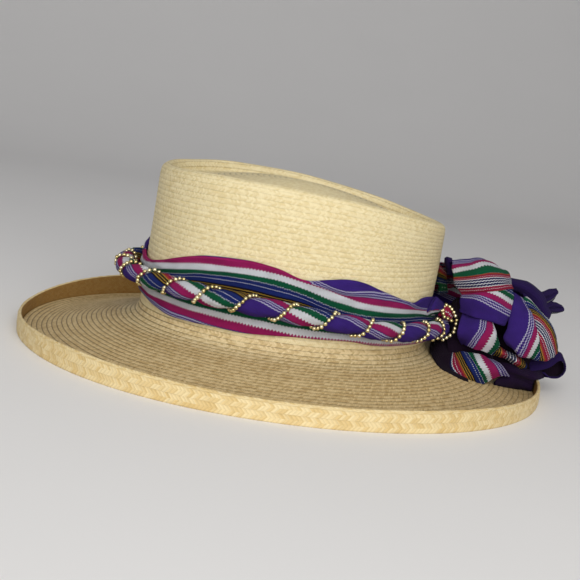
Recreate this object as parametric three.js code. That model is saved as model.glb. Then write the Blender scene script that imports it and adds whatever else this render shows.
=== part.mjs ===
// A wide-brimmed palm leaf hat with a telescope crown, dressed with a striped cloth sash,
// a twisted roll of the same cloth wound with a string of small gold beads, and a cloth rosette.
// Millimetres, +Z up. +X points to the wearer's back, -Y to the wearer's left, 0 degrees is the back.
// Heights are measured from the line where the crown meets the brim.

import * as THREE from 'three';

// Crown
const CROWN_LENGTH = 204;
const CROWN_WIDTH = 169;
const CROWN_TAPER = 0.6;
const CROWN_LEAN = 2.4;
const CROWN_HEIGHT = 101.8;
const TOP_DROP_TO_BACK = 7.3;
const TOP_SADDLE = 3.8;
const STRAW = 2;
const SEAM_HEIGHT = 9;
const TIP_DOME = 12;

// Brim and its turned-up rim
const BRIM_WIDTH = 84;
const BRIM_SIDE_SHARE = 0.996;
const BRIM_SHIFT = 1.8;
const BRIM_FULLNESS = 1.8;
const RIM_HEIGHT = 13.4;
const RIM_THICKNESS = 2.4;
const RIM_BOTTOM = -17.9;

// Cloth sash, roll, beads
const CLEARANCE = 0.3;
const SASH_BED = 1.2;
const SASH_PUFF = 3.2;
const ROLL_RADIUS = 5.4;
const ROLL_STAND_OFF = 10.2;
const ROLL_FRONT_STAND_OFF = 17;
const ROLL_END_ANGLE = 17;
const BEAD_DIAMETER = 2.4;
const BEAD_TURN_ANGLE = 13.75;
const BEAD_FIRST_CROSSING = 154;
const BEAD_CHORD_ROOM = 0.9;
const CLOTH = 1.4;

// Steps round the hat
const OVAL_STEPS = 54;
const SASH_STEPS = 50;
const ROLL_STEPS = 60;
const ROLL_SIDES = 8;
const BEAD_STEPS = 80;
const BEAD_SIDES = 8;

// Rosette: it faces the wearer's left, and its places are [along, up, out] from the hollow in its face
const ROSETTE_HEART = [142.6, -45, 33.6];
const ROSETTE_AZIMUTH = -10;
const ROSETTE_ELEVATION = 10.3;
const ROSETTE_ROLL = 8.8;
const ROSETTE_MIDDLE = -6;
const ROSETTE_FALL = 0.005;
const PETAL_STEPS = 6;
const PETAL_ROOM = 2.3;
const PETAL_RISE = 1.5;
const PETAL_SEAM = 0.8;

const radians = THREE.MathUtils.degToRad;
const lerp = THREE.MathUtils.lerp;
const vec = (x, y, z) => new THREE.Vector3(x, y, z);

// A smooth value at x from rows of [x, value], which stand in rising order of x.
function tableValue(rows, x) {
  const last = rows.length - 1;
  if (x <= rows[0][0]) return rows[0][1];
  if (x >= rows[last][0]) return rows[last][1];
  const i = rows.findIndex((row, k) => k < last && x <= rows[k + 1][0]);
  const t = (x - rows[i][0]) / (rows[i + 1][0] - rows[i][0]);
  return lerp(rows[i][1], rows[i + 1][1], t * t * (3 - 2 * t));
}

// A closed body from vertices and triangles, with its faces turned outwards.
function closedBody(points, triangles) {
  let volume = 0;
  const cross = new THREE.Vector3();
  for (const [a, b, c] of triangles) {
    volume += points[a].dot(cross.crossVectors(points[b], points[c]));
  }
  const faces = volume < 0 ? triangles.map(([a, b, c]) => [a, c, b]) : triangles;
  const geometry = new THREE.BufferGeometry();
  geometry.setAttribute('position', new THREE.Float32BufferAttribute(points.flatMap((p) => p.toArray()), 3));
  geometry.setIndex(faces.flat());
  return geometry;
}

// A ring whose closed section at each step is a list of points.
function ringBody(steps, section) {
  const rows = Array.from({ length: steps }, (_, i) => section((i / steps) * 360));
  const across = rows[0].length;
  const triangles = [];
  for (let i = 0; i < steps; i++) {
    for (let j = 0; j < across; j++) {
      const a = i * across + j;
      const b = i * across + ((j + 1) % across);
      const c = ((i + 1) % steps) * across + j;
      const d = ((i + 1) % steps) * across + ((j + 1) % across);
      triangles.push([a, c, b], [b, c, d]);
    }
  }
  return closedBody(rows.flat(), triangles);
}

// A body from rings stacked between a first and a last single point.
function stackedBody(first, rings, last) {
  const steps = rings[0].length;
  const points = [first, ...rings.flat(), last];
  const triangles = [];
  const at = (row, i) => 1 + row * steps + (i % steps);
  for (let i = 0; i < steps; i++) {
    triangles.push([0, at(0, i), at(0, i + 1)]);
    triangles.push([points.length - 1, at(rings.length - 1, i + 1), at(rings.length - 1, i)]);
    for (let row = 0; row < rings.length - 1; row++) {
      triangles.push([at(row, i), at(row + 1, i), at(row, i + 1)]);
      triangles.push([at(row, i + 1), at(row + 1, i), at(row + 1, i + 1)]);
    }
  }
  return closedBody(points, triangles);
}

// A sheet whose outer face passes through the grid's points, and its inner face lies a thickness below.
function sheetBody(grid, thickness) {
  const rows = grid.length;
  const across = grid[0].length;
  const normalAt = (i, j) => {
    const along = grid[Math.min(i + 1, rows - 1)][j].clone().sub(grid[Math.max(i - 1, 0)][j]);
    const over = grid[i][Math.min(j + 1, across - 1)].clone().sub(grid[i][Math.max(j - 1, 0)]);
    return along.cross(over).normalize();
  };
  const points = [];
  for (const depth of [0, -thickness]) {
    grid.forEach((row, i) => {
      row.forEach((p, j) => points.push(p.clone().addScaledVector(normalAt(i, j), depth)));
    });
  }
  const top = (i, j) => i * across + j;
  const under = (i, j) => rows * across + i * across + j;
  const triangles = [];
  for (let i = 0; i < rows - 1; i++) {
    for (let j = 0; j < across - 1; j++) {
      triangles.push([top(i, j), top(i + 1, j), top(i, j + 1)]);
      triangles.push([top(i, j + 1), top(i + 1, j), top(i + 1, j + 1)]);
      triangles.push([under(i, j), under(i, j + 1), under(i + 1, j)]);
      triangles.push([under(i, j + 1), under(i + 1, j + 1), under(i + 1, j)]);
    }
  }
  const edge = [];
  for (let j = 0; j < across; j++) edge.push([0, j]);
  for (let i = 1; i < rows; i++) edge.push([i, across - 1]);
  for (let j = across - 2; j >= 0; j--) edge.push([rows - 1, j]);
  for (let i = rows - 2; i > 0; i--) edge.push([i, 0]);
  edge.forEach(([i, j], k) => {
    const [m, n] = edge[(k + 1) % edge.length];
    triangles.push([top(i, j), top(m, n), under(i, j)], [top(m, n), under(m, n), under(i, j)]);
  });
  return closedBody(points, triangles);
}

// The crown's oval wall, at an angle from the back and moved outwards by outset.
function crownPoint(angle, height, outset) {
  const share = height / 100;
  const length = CROWN_LENGTH / 2 - CROWN_TAPER * share + outset;
  const width = CROWN_WIDTH / 2 + outset;
  const a = radians(angle);
  return vec(CROWN_LEAN * share + length * Math.cos(a), width * Math.sin(a), height);
}

// Height of the crown's top: lower at the back and saddled, for a share of the way out from its middle.
function topHeight(angle, share) {
  const a = radians(angle);
  return CROWN_HEIGHT - TOP_DROP_TO_BACK * share * Math.cos(a) - TOP_SADDLE * share ** 2 * Math.cos(2 * a);
}

// The brim's oval at a distance out from the crown.
function brimPoint(angle, outset, height) {
  const a = radians(angle);
  const share = outset / BRIM_WIDTH;
  const fullness = BRIM_FULLNESS * share * Math.cos(3 * a);
  const x = BRIM_SHIFT * share + (CROWN_LENGTH / 2 + outset) * Math.cos(a) - fullness;
  return vec(x, (CROWN_WIDTH / 2 + outset * BRIM_SIDE_SHARE) * Math.sin(a), height);
}

// Crown: the folded edge round the sunken tip, [in from the wall, below the top].
const EDGE_OUTSIDE = [
  [16, 8.2],
  [9, 7.3],
  [7.4, 3.4],
  [5.2, 0.3],
  [2.6, 0.3],
  [0.5, 2.6],
  [0, 6],
];
const EDGE_INSIDE = [
  [2, 6.5],
  [3.9, 2.6],
  [6, 7.6],
  [9.5, 9.8],
  [16, 10.2],
];

function makeCrown() {
  const angles = Array.from({ length: OVAL_STEPS }, (_, i) => (i / OVAL_STEPS) * 360);
  const edgeRing = ([inset, drop]) => angles.map((a) => crownPoint(a, topHeight(a, 1) - drop, -inset));
  const wallRing = (height, inset) => angles.map((a) => crownPoint(a, height, -inset));
  const tipRing = (share, drop) => {
    return angles.map((a) => {
      const wall = crownPoint(a, CROWN_HEIGHT, 0);
      return vec(CROWN_LEAN + (wall.x - CROWN_LEAN) * share, wall.y * share, topHeight(a, share) - drop);
    });
  };
  const tipDrop = EDGE_OUTSIDE[0][1];
  const first = vec(CROWN_LEAN, 0, CROWN_HEIGHT - tipDrop + TIP_DOME);
  const last = vec(CROWN_LEAN, 0, CROWN_HEIGHT - tipDrop + TIP_DOME - STRAW);
  const foot = SEAM_HEIGHT + CLEARANCE;
  const rings = [
    tipRing(0.45, tipDrop - TIP_DOME * 0.7),
    ...EDGE_OUTSIDE.map(edgeRing),
    wallRing(foot, 0),
    wallRing(foot, STRAW),
    ...EDGE_INSIDE.map(edgeRing),
    tipRing(0.45, tipDrop - TIP_DOME * 0.7 + STRAW),
  ];
  return stackedBody(first, rings, last);
}

// Brim section, [out from the crown, height]: a soft turn at the crown, a droop, and a flat last part.
const BRIM_TOP = [
  [0, SEAM_HEIGHT],
  [0.5, 5.8],
  [2.4, 3],
  [7, 0.4],
  [34, -7],
  [62, -14.4],
  [70, -15.5],
];
const BRIM_EDGE_HEIGHT = -15.6;

function makeBrim() {
  const edge = BRIM_WIDTH - RIM_THICKNESS - CLEARANCE;
  const under = [
    [70, -17.4],
    [61.5, -16.4],
    [33.5, -9],
    [6.3, -1.6],
    [0.6, 1.2],
    [-STRAW, 5.8],
    [-STRAW, SEAM_HEIGHT],
  ];
  const section = [...BRIM_TOP, [edge, BRIM_EDGE_HEIGHT], [edge, BRIM_EDGE_HEIGHT - STRAW + 0.1], ...under];
  return ringBody(OVAL_STEPS, (angle) => section.map(([outset, height]) => brimPoint(angle, outset, height)));
}

// The rim's lip rises and falls a little round the hat: [waves in a turn, cosine part, sine part].
const LIP_WAVES = [
  [1, -0.4, 0.5],
  [2, -0.4, -0.4],
  [3, 1.3, 0.6],
  [4, -0.9, 1.5],
];

function lipHeight(angle) {
  const wave = LIP_WAVES.reduce((sum, [n, c, s]) => {
    return sum + c * Math.cos(n * radians(angle)) + s * Math.sin(n * radians(angle));
  }, 0);
  return RIM_BOTTOM + RIM_HEIGHT + wave;
}

function makeRim() {
  return ringBody(OVAL_STEPS, (angle) => {
    const lip = lipHeight(angle);
    const middle = (lip + RIM_BOTTOM) / 2;
    const inner = BRIM_WIDTH - RIM_THICKNESS;
    const section = [
      [inner, RIM_BOTTOM],
      [inner, middle],
      [inner + 0.4, lip - 0.5],
      [BRIM_WIDTH - 0.9, lip],
      [BRIM_WIDTH, lip - 1.1],
      [BRIM_WIDTH + 0.5, middle],
      [BRIM_WIDTH + 0.4, RIM_BOTTOM],
    ];
    return section.map(([outset, height]) => brimPoint(angle, outset, height));
  });
}

// Sash edges round the crown, [angle from the back, height]: the wearer's left, then the right.
const SASH_TOP_LEFT = [
  [0, 38],
  [15, 38.7],
  [27, 42.6],
  [38, 43.3],
  [45, 40.7],
  [58, 46.1],
  [73, 53.9],
  [82, 54.2],
  [93, 51.4],
  [103, 55.9],
  [117, 57.7],
  [132, 55],
  [145, 49],
  [163, 41.6],
  [180, 50],
];
const SASH_TOP_RIGHT = [
  [0, 38],
  [20, 41],
  [48, 45],
  [75, 52],
  [95, 50],
  [120, 56],
  [145, 53],
  [168, 57],
  [180, 50],
];
const SASH_FOOT = [
  [0, 11],
  [44, 12],
  [62, 13],
  [78, 15.1],
  [95, 14.9],
  [113, 12.4],
  [140, 12],
  [157, 15.4],
  [180, 17.5],
];
const ROLL_HEIGHT = [
  [0, 19],
  [20, 20.7],
  [40, 22.9],
  [55, 23.7],
  [67, 25.4],
  [80, 28.2],
  [95, 30.7],
  [112, 32.4],
  [140, 32.6],
  [180, 33],
];

const sideAngle = (angle) => Math.abs(THREE.MathUtils.euclideanModulo(angle + 180, 360) - 180);
const onLeft = (angle) => THREE.MathUtils.euclideanModulo(angle, 360) > 180;
const sashTop = (angle) => tableValue(onLeft(angle) ? SASH_TOP_LEFT : SASH_TOP_RIGHT, sideAngle(angle));
const sashFoot = (angle) => tableValue(SASH_FOOT, sideAngle(angle));
const rollHeight = (angle) => tableValue(ROLL_HEIGHT, sideAngle(angle));

function makeSash() {
  return ringBody(SASH_STEPS, (angle) => {
    const top = sashTop(angle);
    const foot = sashFoot(angle);
    const bed = rollHeight(angle);
    const section = [
      [CLEARANCE, foot + 1],
      [SASH_BED + 0.4, foot],
      [SASH_PUFF, foot + 2.6],
      [SASH_BED, bed - 6],
      [SASH_BED, bed + 5],
      [SASH_PUFF, lerp(bed + 5, top, 0.55)],
      [SASH_PUFF - 0.6, top - 1.6],
      [SASH_BED, top],
      [CLEARANCE, top - 1],
    ];
    return section.map(([outset, height]) => crownPoint(angle, height, outset));
  });
}

// The roll's middle line: it lies along the sash and stands off further at the front.
function rollPoint(angle) {
  const front = THREE.MathUtils.smoothstep(sideAngle(angle), 140, 180);
  return crownPoint(angle, rollHeight(angle), lerp(ROLL_STAND_OFF, ROLL_FRONT_STAND_OFF, front));
}

function outwards(angle) {
  const a = radians(angle);
  return vec(Math.cos(a) * CROWN_WIDTH, Math.sin(a) * CROWN_LENGTH, 0).normalize();
}

function makeRoll() {
  const rings = [];
  for (let i = 0; i <= ROLL_STEPS; i++) {
    const angle = lerp(ROLL_END_ANGLE, 360 - ROLL_END_ANGLE, i / ROLL_STEPS);
    const middle = rollPoint(angle);
    const out = outwards(angle);
    const ring = [];
    for (let k = 0; k < ROLL_SIDES; k++) {
      const turn = radians((k / ROLL_SIDES) * 360);
      const spot = middle.clone().addScaledVector(out, ROLL_RADIUS * Math.cos(turn));
      ring.push(spot.add(vec(0, 0, ROLL_RADIUS * Math.sin(turn))));
    }
    rings.push(ring);
  }
  return stackedBody(rollPoint(ROLL_END_ANGLE), rings, rollPoint(360 - ROLL_END_ANGLE));
}

// The bead string winds round the roll; it crosses the outer side at every BEAD_TURN_ANGLE.
class BeadLine extends THREE.Curve {
  constructor(from, to) {
    super();
    this.from = from;
    this.to = to;
  }

  getPoint(t, target = new THREE.Vector3()) {
    const angle = lerp(this.from, this.to, t);
    const turn = ((angle - (360 - BEAD_FIRST_CROSSING)) / BEAD_TURN_ANGLE) * Math.PI * 2;
    const radius = ROLL_RADIUS + CLEARANCE + BEAD_CHORD_ROOM + BEAD_DIAMETER / 2;
    target.copy(rollPoint(angle)).addScaledVector(outwards(angle), radius * Math.cos(turn));
    target.z += radius * Math.sin(turn);
    return target;
  }

  getPointAt(t, target) {
    return this.getPoint(t, target);
  }
}

function makeBeadString(from, to) {
  const section = new THREE.Shape();
  for (let k = 0; k < BEAD_SIDES; k++) {
    const turn = (k / BEAD_SIDES) * Math.PI * 2;
    const x = (Math.cos(turn) * BEAD_DIAMETER) / 2;
    const y = (Math.sin(turn) * BEAD_DIAMETER) / 2;
    if (k === 0) section.moveTo(x, y);
    else section.lineTo(x, y);
  }
  return new THREE.ExtrudeGeometry(section, { steps: BEAD_STEPS, extrudePath: new BeadLine(from, to) });
}

// Turns a place in the rosette's own directions into a place on the hat.
const rosetteNormal = vec(
  Math.sin(radians(ROSETTE_AZIMUTH)) * Math.cos(radians(ROSETTE_ELEVATION)),
  -Math.cos(radians(ROSETTE_AZIMUTH)) * Math.cos(radians(ROSETTE_ELEVATION)),
  Math.sin(radians(ROSETTE_ELEVATION)),
);
const levelSide = vec(Math.cos(radians(ROSETTE_AZIMUTH)), Math.sin(radians(ROSETTE_AZIMUTH)), 0);
const levelUp = rosetteNormal.clone().cross(levelSide);
const rosetteSide = levelSide.clone().applyAxisAngle(rosetteNormal, radians(ROSETTE_ROLL));
const rosetteUp = levelUp.clone().applyAxisAngle(rosetteNormal, radians(ROSETTE_ROLL));

function rosettePoint([along, up, out]) {
  return vec(...ROSETTE_HEART)
    .addScaledVector(rosetteSide, along)
    .addScaledVector(rosetteUp, up)
    .addScaledVector(rosetteNormal, out);
}

// Each petal is a strip of cloth laid through folds. A fold is a smooth line through the places
// given, and a 'carried' petal runs on from its last fold to the rosette's middle plane.
// The wearer's right has the same petals the other way round, and a little lower.
const PETALS = {
  upper: {
    carried: true,
    folds: [
      [[-27, 6, 0], [-18, 2.7, 8], [-7, -0.4, 10], [1, -3, 5]],
      [[-27, 15.5, 3], [-18.5, 14, 12], [-7, 8, 13], [4, 2.5, 6]],
      [[-27, 18, 2], [-16, 19, 11], [-4, 20, 12], [9.7, 20, -0.8]],
      [[-32.5, 29, 3], [-21, 30.5, 14], [-8.5, 32, 14], [5, 31, 0]],
      [[-32, 36, -4], [-21.5, 38, 3], [-10, 40, 2], [1, 36.5, -9]],
      [[-32, 40, -9], [-21.5, 41, -5], [-11, 41.5, -8], [0, 37, -18]],
    ],
  },
  back: {
    carried: true,
    folds: [
      [[9, 20, -5.2], [7.5, 7, 5], [4, -5.5, 9], [2, -12, 7]],
      [[13.6, 17, -4], [17, 5, 10], [15, -7, 14], [9, -18.5, 9]],
      [[16, 15, -4], [21, -1, 10], [24, -12, 12], [26, -26, 5]],
      [[18.5, 16.5, -7], [25, 4.5, 7], [30, -7, 10], [34, -25, 2]],
      [[23, 17, -16], [29, 6, -6], [36.5, -4, -5], [41, -22.5, -13]],
    ],
  },
  front: {
    carried: false,
    folds: [
      [[-25.5, 4.8, 1], [-28, -3, 5], [-29, -10, 4], [-27, -16, 0]],
      [[-14.5, 1.2, 6], [-17, -5.5, 11], [-20.5, -12, 10], [-23.5, -17.5, 5]],
      [[-6.5, -1, 6], [-6, -8, 9], [-8, -14, 8], [-13, -21, 3]],
      [[-4.5, -5, -9], [-2.5, -12, -7], [-2.5, -18, -7], [-7, -24, -7]],
      [[-9, -5, -20], [-8, -12, -20], [-8, -17, -19], [-11, -22, -17]],
    ],
  },
  lower: {
    carried: false,
    folds: [
      [[-45, -19, -18], [-43, -26, -10], [-37, -32, -1], [-31, -37, 4]],
      [[-31, -23, -2], [-28, -31, 6], [-25, -37.5, 9], [-21.5, -43, 7]],
      [[-18, -23, 2], [-15, -29.5, 9], [-10.5, -36.5, 9], [-7, -42, 4]],
      [[-5, -28, -4], [0, -31.5, -1], [5, -36, -3], [8.5, -40, -8]],
    ],
  },
  skirt: {
    carried: false,
    folds: [
      [[4.5, -43, -14], [9.5, -46, -17], [17, -47, -22], [24, -48, -26]],
      [[5.3, -39, -10], [12, -39, -7], [19, -41, -11], [25, -44, -20]],
      [[3.5, -30, -9], [10, -31.5, -6], [17, -35, -9], [24, -39, -16]],
    ],
  },
};

// Loose ends of cloth: folded tongues, each from a root to a tip.
const TAILS = [
  { name: 'tail_top', root: [8, 28, -24], tip: [41, 21.5, -38], width: 8, depth: 6 },
  { name: 'tail_middle', root: [29.2, 11, -34], tip: [44, 9.5, -36], width: 11, depth: 6 },
  { name: 'tail_low', root: [30, -23, -27], tip: [46, -29.8, -30], width: 17, depth: 9 },
  { name: 'tail_crown', root: [-30, 24.3, -22.6], tip: [-37, 42.3, -17.6], width: 8, depth: 6 },
];

// Crumpled cloth inside the rosette and where it is gathered at the roll's ends.
const LUMPS = [
  { name: 'rosette_heart', centre: [4, 1, -37], size: [22, 20, 16] },
  { name: 'rosette_knot', centre: [-26.5, -1, -14], size: [7, 18, 12] },
];

// How far out from the crown's wall a place is.
function crownOutset(point) {
  const share = point.z / 100;
  const x = point.x - CROWN_LEAN * share;
  let outset = 0;
  for (let i = 0; i < 8; i++) {
    const length = CROWN_LENGTH / 2 - CROWN_TAPER * share + outset;
    const width = CROWN_WIDTH / 2 + outset;
    outset += Math.hypot(x, point.y) * (1 - 1 / Math.hypot(x / length, point.y / width));
  }
  return outset;
}

// Moves a place on a petal clear of the crown, the sash, the rim and the brim.
function laidClear(point) {
  const angle = THREE.MathUtils.radToDeg(Math.atan2(point.y / CROWN_WIDTH, point.x / CROWN_LENGTH));
  const outset = crownOutset(point);
  const onSash = point.z < sashTop(angle) + PETAL_ROOM;
  const nearest = PETAL_ROOM + (onSash ? SASH_PUFF : 0);
  const furthest = BRIM_WIDTH - RIM_THICKNESS - PETAL_ROOM;
  const overRim = point.z > lipHeight(angle) + PETAL_ROOM;
  const kept = Math.max(nearest, overRim ? outset : Math.min(outset, furthest));
  const placed = point.clone();
  placed.x += (kept - outset) * Math.cos(radians(angle));
  placed.y += (kept - outset) * Math.sin(radians(angle));
  placed.z = Math.max(placed.z, tableValue(BRIM_TOP, kept) + PETAL_ROOM);
  return placed;
}

function petalGrid({ folds, carried }, far) {
  const lines = folds.map((fold) => new THREE.CatmullRomCurve3(fold.map(rosettePoint)));
  const grid = [];
  for (let i = 0; i <= PETAL_STEPS; i++) {
    const stops = lines.map((line) => line.getPoint(i / PETAL_STEPS));
    if (carried) {
      const last = stops[stops.length - 1];
      stops.push(vec(last.x, (last.y + ROSETTE_MIDDLE) / 2, last.z + PETAL_RISE));
      stops.push(vec(last.x, ROSETTE_MIDDLE - PETAL_SEAM / 2, last.z));
    }
    const across = new THREE.CatmullRomCurve3(stops);
    const spans = (stops.length - 1) * 2;
    grid.push(Array.from({ length: spans + 1 }, (_, k) => across.getPoint(k / spans)));
  }
  const turned = (p) => {
    const depth = ROSETTE_MIDDLE - p.y;
    return vec(p.x, ROSETTE_MIDDLE + depth, lerp(p.z, RIM_BOTTOM, depth * ROSETTE_FALL));
  };
  return grid.map((row) => row.map((p) => laidClear(far ? turned(p) : p)));
}

// A rounded tongue along a line, flattened to its width and depth.
function makeTail({ root, tip, width, depth }) {
  const from = rosettePoint(root);
  const to = rosettePoint(tip);
  const along = to.clone().sub(from);
  const over = rosetteNormal.clone().cross(along).normalize();
  const out = along.clone().cross(over).normalize();
  // Share of the way to the tip, share of the full size.
  const shares = [
    [0.05, 0.55],
    [0.35, 0.8],
    [0.7, 1],
    [0.93, 0.75],
  ];
  const rings = shares.map(([t, size]) => {
    return Array.from({ length: 8 }, (_, k) => {
      const turn = radians(k * 45);
      return from
        .clone()
        .addScaledVector(along, t)
        .addScaledVector(over, (Math.cos(turn) * size * width) / 2)
        .addScaledVector(out, (Math.sin(turn) * size * depth) / 2);
    });
  });
  return stackedBody(from, rings, to);
}

function makeLump({ centre, size }) {
  const middle = rosettePoint(centre);
  const place = (along, up, out) => {
    const spot = middle.clone().addScaledVector(rosetteSide, along).addScaledVector(rosetteUp, up);
    return spot.addScaledVector(rosetteNormal, out);
  };
  const levels = [-0.85, -0.45, 0, 0.45, 0.85];
  const rings = levels.map((level) => {
    const share = Math.sqrt(1 - level ** 2);
    return Array.from({ length: 10 }, (_, k) => {
      const turn = radians(k * 36);
      return place(size[0] * share * Math.cos(turn), size[1] * level, size[2] * share * Math.sin(turn));
    });
  });
  return stackedBody(place(0, -size[1], 0), rings, place(0, size[1], 0));
}

// Materials
function finish(color, roughness, metalness = 0) {
  return new THREE.MeshStandardMaterial({ color, roughness, metalness });
}

const hat = new THREE.Group();

function addPiece(name, geometry, material) {
  const mesh = new THREE.Mesh(geometry, material);
  mesh.name = name;
  hat.add(mesh);
  return mesh;
}

addPiece('crown', makeCrown(), finish(0xdcc890, 0.7));
addPiece('brim', makeBrim(), finish(0xbfa673, 0.75));
addPiece('rim_plait', makeRim(), finish(0xd9bf80, 0.7));
addPiece('sash', makeSash(), finish(0x1f6a48, 0.85));
addPiece('roll', makeRoll(), finish(0x4a2f86, 0.85));
addPiece('bead_string_right', makeBeadString(ROLL_END_ANGLE + 1, 180), finish(0xcbb46a, 0.3, 0.9));
addPiece('bead_string_left', makeBeadString(180.6, 360 - ROLL_END_ANGLE - 1), finish(0xcbb46a, 0.3, 0.9));

const cloth = () => finish(0x4a2f86, 0.85);
for (const [name, petal] of Object.entries(PETALS)) {
  addPiece(`petal_${name}_left`, sheetBody(petalGrid(petal, false), CLOTH), cloth());
  addPiece(`petal_${name}_right`, sheetBody(petalGrid(petal, true), -CLOTH), cloth());
}
for (const tail of TAILS) addPiece(tail.name, makeTail(tail), cloth());
for (const lump of LUMPS) addPiece(lump.name, makeLump(lump), cloth());

// The origin stands under the middle of the hat's box, at the height that the rim rests on.
const box = new THREE.Box3().setFromObject(hat);
const middle = box.getCenter(new THREE.Vector3());
hat.position.set(-middle.x, -middle.y, -box.min.z);
hat.updateMatrixWorld(true);

export default hat;
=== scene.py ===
"""A plaited palm leaf hat with a striped cloth sash, a twisted roll wound with beads, and a rosette.

Places on the hat are in millimetres, from the middle of the crown's foot: +X is the wearer's back,
-Y the wearer's left, +Z up. An angle runs from the back round the crown, and 270 is the left side.
"""

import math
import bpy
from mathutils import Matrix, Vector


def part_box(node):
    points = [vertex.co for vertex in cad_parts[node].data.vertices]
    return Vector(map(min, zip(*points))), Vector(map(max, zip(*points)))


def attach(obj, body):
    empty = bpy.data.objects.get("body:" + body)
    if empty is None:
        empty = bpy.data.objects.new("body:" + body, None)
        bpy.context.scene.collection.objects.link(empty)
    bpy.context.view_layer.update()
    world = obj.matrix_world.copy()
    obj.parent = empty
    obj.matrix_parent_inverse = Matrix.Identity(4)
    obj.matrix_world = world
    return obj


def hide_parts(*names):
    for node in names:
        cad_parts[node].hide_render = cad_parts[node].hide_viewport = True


bl_info = {
    "name": "Palm leaf hat",
    "version": (1, 0, 0),
    "blender": (4, 5, 0),
    "location": "3D View > Sidebar > Palm hat",
    "description": "Builds a plaited palm leaf hat with its sash, beads and rosette",
    "category": "Object",
}

import bpy
import numpy as np
from mathutils import Quaternion, Vector, noise

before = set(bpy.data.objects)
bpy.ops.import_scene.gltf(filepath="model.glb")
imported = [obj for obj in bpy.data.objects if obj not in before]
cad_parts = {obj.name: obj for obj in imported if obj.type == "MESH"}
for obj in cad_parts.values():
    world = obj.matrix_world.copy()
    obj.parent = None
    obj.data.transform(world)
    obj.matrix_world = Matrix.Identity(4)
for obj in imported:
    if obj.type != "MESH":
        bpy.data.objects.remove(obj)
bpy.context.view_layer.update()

MM = 0.001
BODY = "root"
SEED = 7

# Crown
CROWN_LENGTH = 204.0
CROWN_WIDTH = 169.0
CROWN_TAPER = 0.6
CROWN_LEAN = 2.4
CROWN_HEIGHT = 101.8
TOP_DROP_TO_BACK = 7.3
TOP_SADDLE = 3.8
SEAM_HEIGHT = 9.0
TIP_DROP = 8.2
TIP_DOME = 12.0
STRAW = 2.0
CROWN_RADIUS = (CROWN_LENGTH + CROWN_WIDTH) / 4

# Brim and its turned-up rim
BRIM_WIDTH = 84.0
BRIM_SIDE_SHARE = 0.996
BRIM_SHIFT = 1.8
BRIM_FULLNESS = 1.8
RIM_BOTTOM = -17.9
RIM_HEIGHT = 13.4
RIM_THICKNESS = 2.4
RIM_STRAND = 2.4

# Roll, sash and beads
ROLL_RADIUS = 5.4
ROLL_STAND_OFF = 10.2
ROLL_FRONT_STAND_OFF = 14.5
ROLL_END_ANGLE = 17.0
BEAD_TURN_ANGLE = 13.75
BEAD_FIRST_CROSSING = 154.0
SASH_PUFF = 3.2
SASH_REACH = 48.0

# Rosette
ROSETTE_HEART = (142.6, -45.0, 33.6)
ROSETTE_AZIMUTH = -10.0
ROSETTE_ELEVATION = 10.3
ROSETTE_ROLL = 8.8
ROSETTE_MIDDLE = -6.0
ROSETTE_FALL = 0.005
FOLD_ROOM = 0.9


# Shapes in the hat's millimetres


def smooth_value(knots, values, x):
    """A value at x on the smooth curve through the knots."""
    knots, values = np.asarray(knots, float), np.asarray(values, float)
    x = np.clip(x, knots[0], knots[-1])
    slopes = np.gradient(values, knots)
    i = np.clip(np.searchsorted(knots, x, side="right") - 1, 0, len(knots) - 2)
    span = knots[i + 1] - knots[i]
    t = (x - knots[i]) / span
    start = (2 * t**3 - 3 * t**2 + 1) * values[i] + (t**3 - 2 * t**2 + t) * span * slopes[i]
    return start + (3 * t**2 - 2 * t**3) * values[i + 1] + (t**3 - t**2) * span * slopes[i + 1]


def smooth_path(places, shares):
    """Places at shares of the way along a smooth line through the given places, for each row of them."""
    places = np.asarray(places, float)
    last = len(places) - 1
    at = np.clip(np.asarray(shares, float) * last, 0, last)
    i = np.minimum(at.astype(int), last - 1)
    t = (at - i).reshape((-1,) + (1,) * (places.ndim - 1))
    before, after = places[np.maximum(i - 1, 0)], places[np.minimum(i + 2, last)]
    here, there = places[i], places[i + 1]
    before = np.where((i == 0).reshape(t.shape), 2 * here - there, before)
    after = np.where((i == last - 1).reshape(t.shape), 2 * there - here, after)
    return 0.5 * (
        2 * here
        + (there - before) * t
        + (2 * before - 5 * here + 4 * there - after) * t**2
        + (3 * here - before - 3 * there + after) * t**3
    )


def stacked(*coordinates):
    return np.stack(np.broadcast_arrays(*coordinates), -1).astype(float)


def crown_point(angle, height, outset):
    """The crown's oval wall, at an angle from the back and moved outwards by outset."""
    a, share = np.radians(angle), height / 100
    x = CROWN_LEAN * share + (CROWN_LENGTH / 2 - CROWN_TAPER * share + outset) * np.cos(a)
    return stacked(x, (CROWN_WIDTH / 2 + outset) * np.sin(a), height)


def top_height(angle, share):
    """Height of the crown's top, for a share of the way out from its middle."""
    a = np.radians(angle)
    return CROWN_HEIGHT - TOP_DROP_TO_BACK * share * np.cos(a) - TOP_SADDLE * share**2 * np.cos(2 * a)


def tip_point(angle, share, drop):
    """A place on the crown's sunken tip, for a share of the way out from its middle."""
    wall = crown_point(angle, CROWN_HEIGHT, 0)
    x = CROWN_LEAN + (wall[..., 0] - CROWN_LEAN) * share
    return stacked(x, wall[..., 1] * share, top_height(angle, share) - drop)


def brim_point(angle, outset, height):
    """The brim's oval at a distance out from the crown."""
    a, share = np.radians(angle), outset / BRIM_WIDTH
    x = BRIM_SHIFT * share + (CROWN_LENGTH / 2 + outset) * np.cos(a) - BRIM_FULLNESS * share * np.cos(3 * a)
    return stacked(x, (CROWN_WIDTH / 2 + outset * BRIM_SIDE_SHARE) * np.sin(a), height)


# The rim's lip rises and falls a little round the hat: (waves in a turn, cosine part, sine part)
LIP_WAVES = ((1, -0.4, 0.5), (2, -0.4, -0.4), (3, 1.3, 0.6), (4, -0.9, 1.5))


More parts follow.
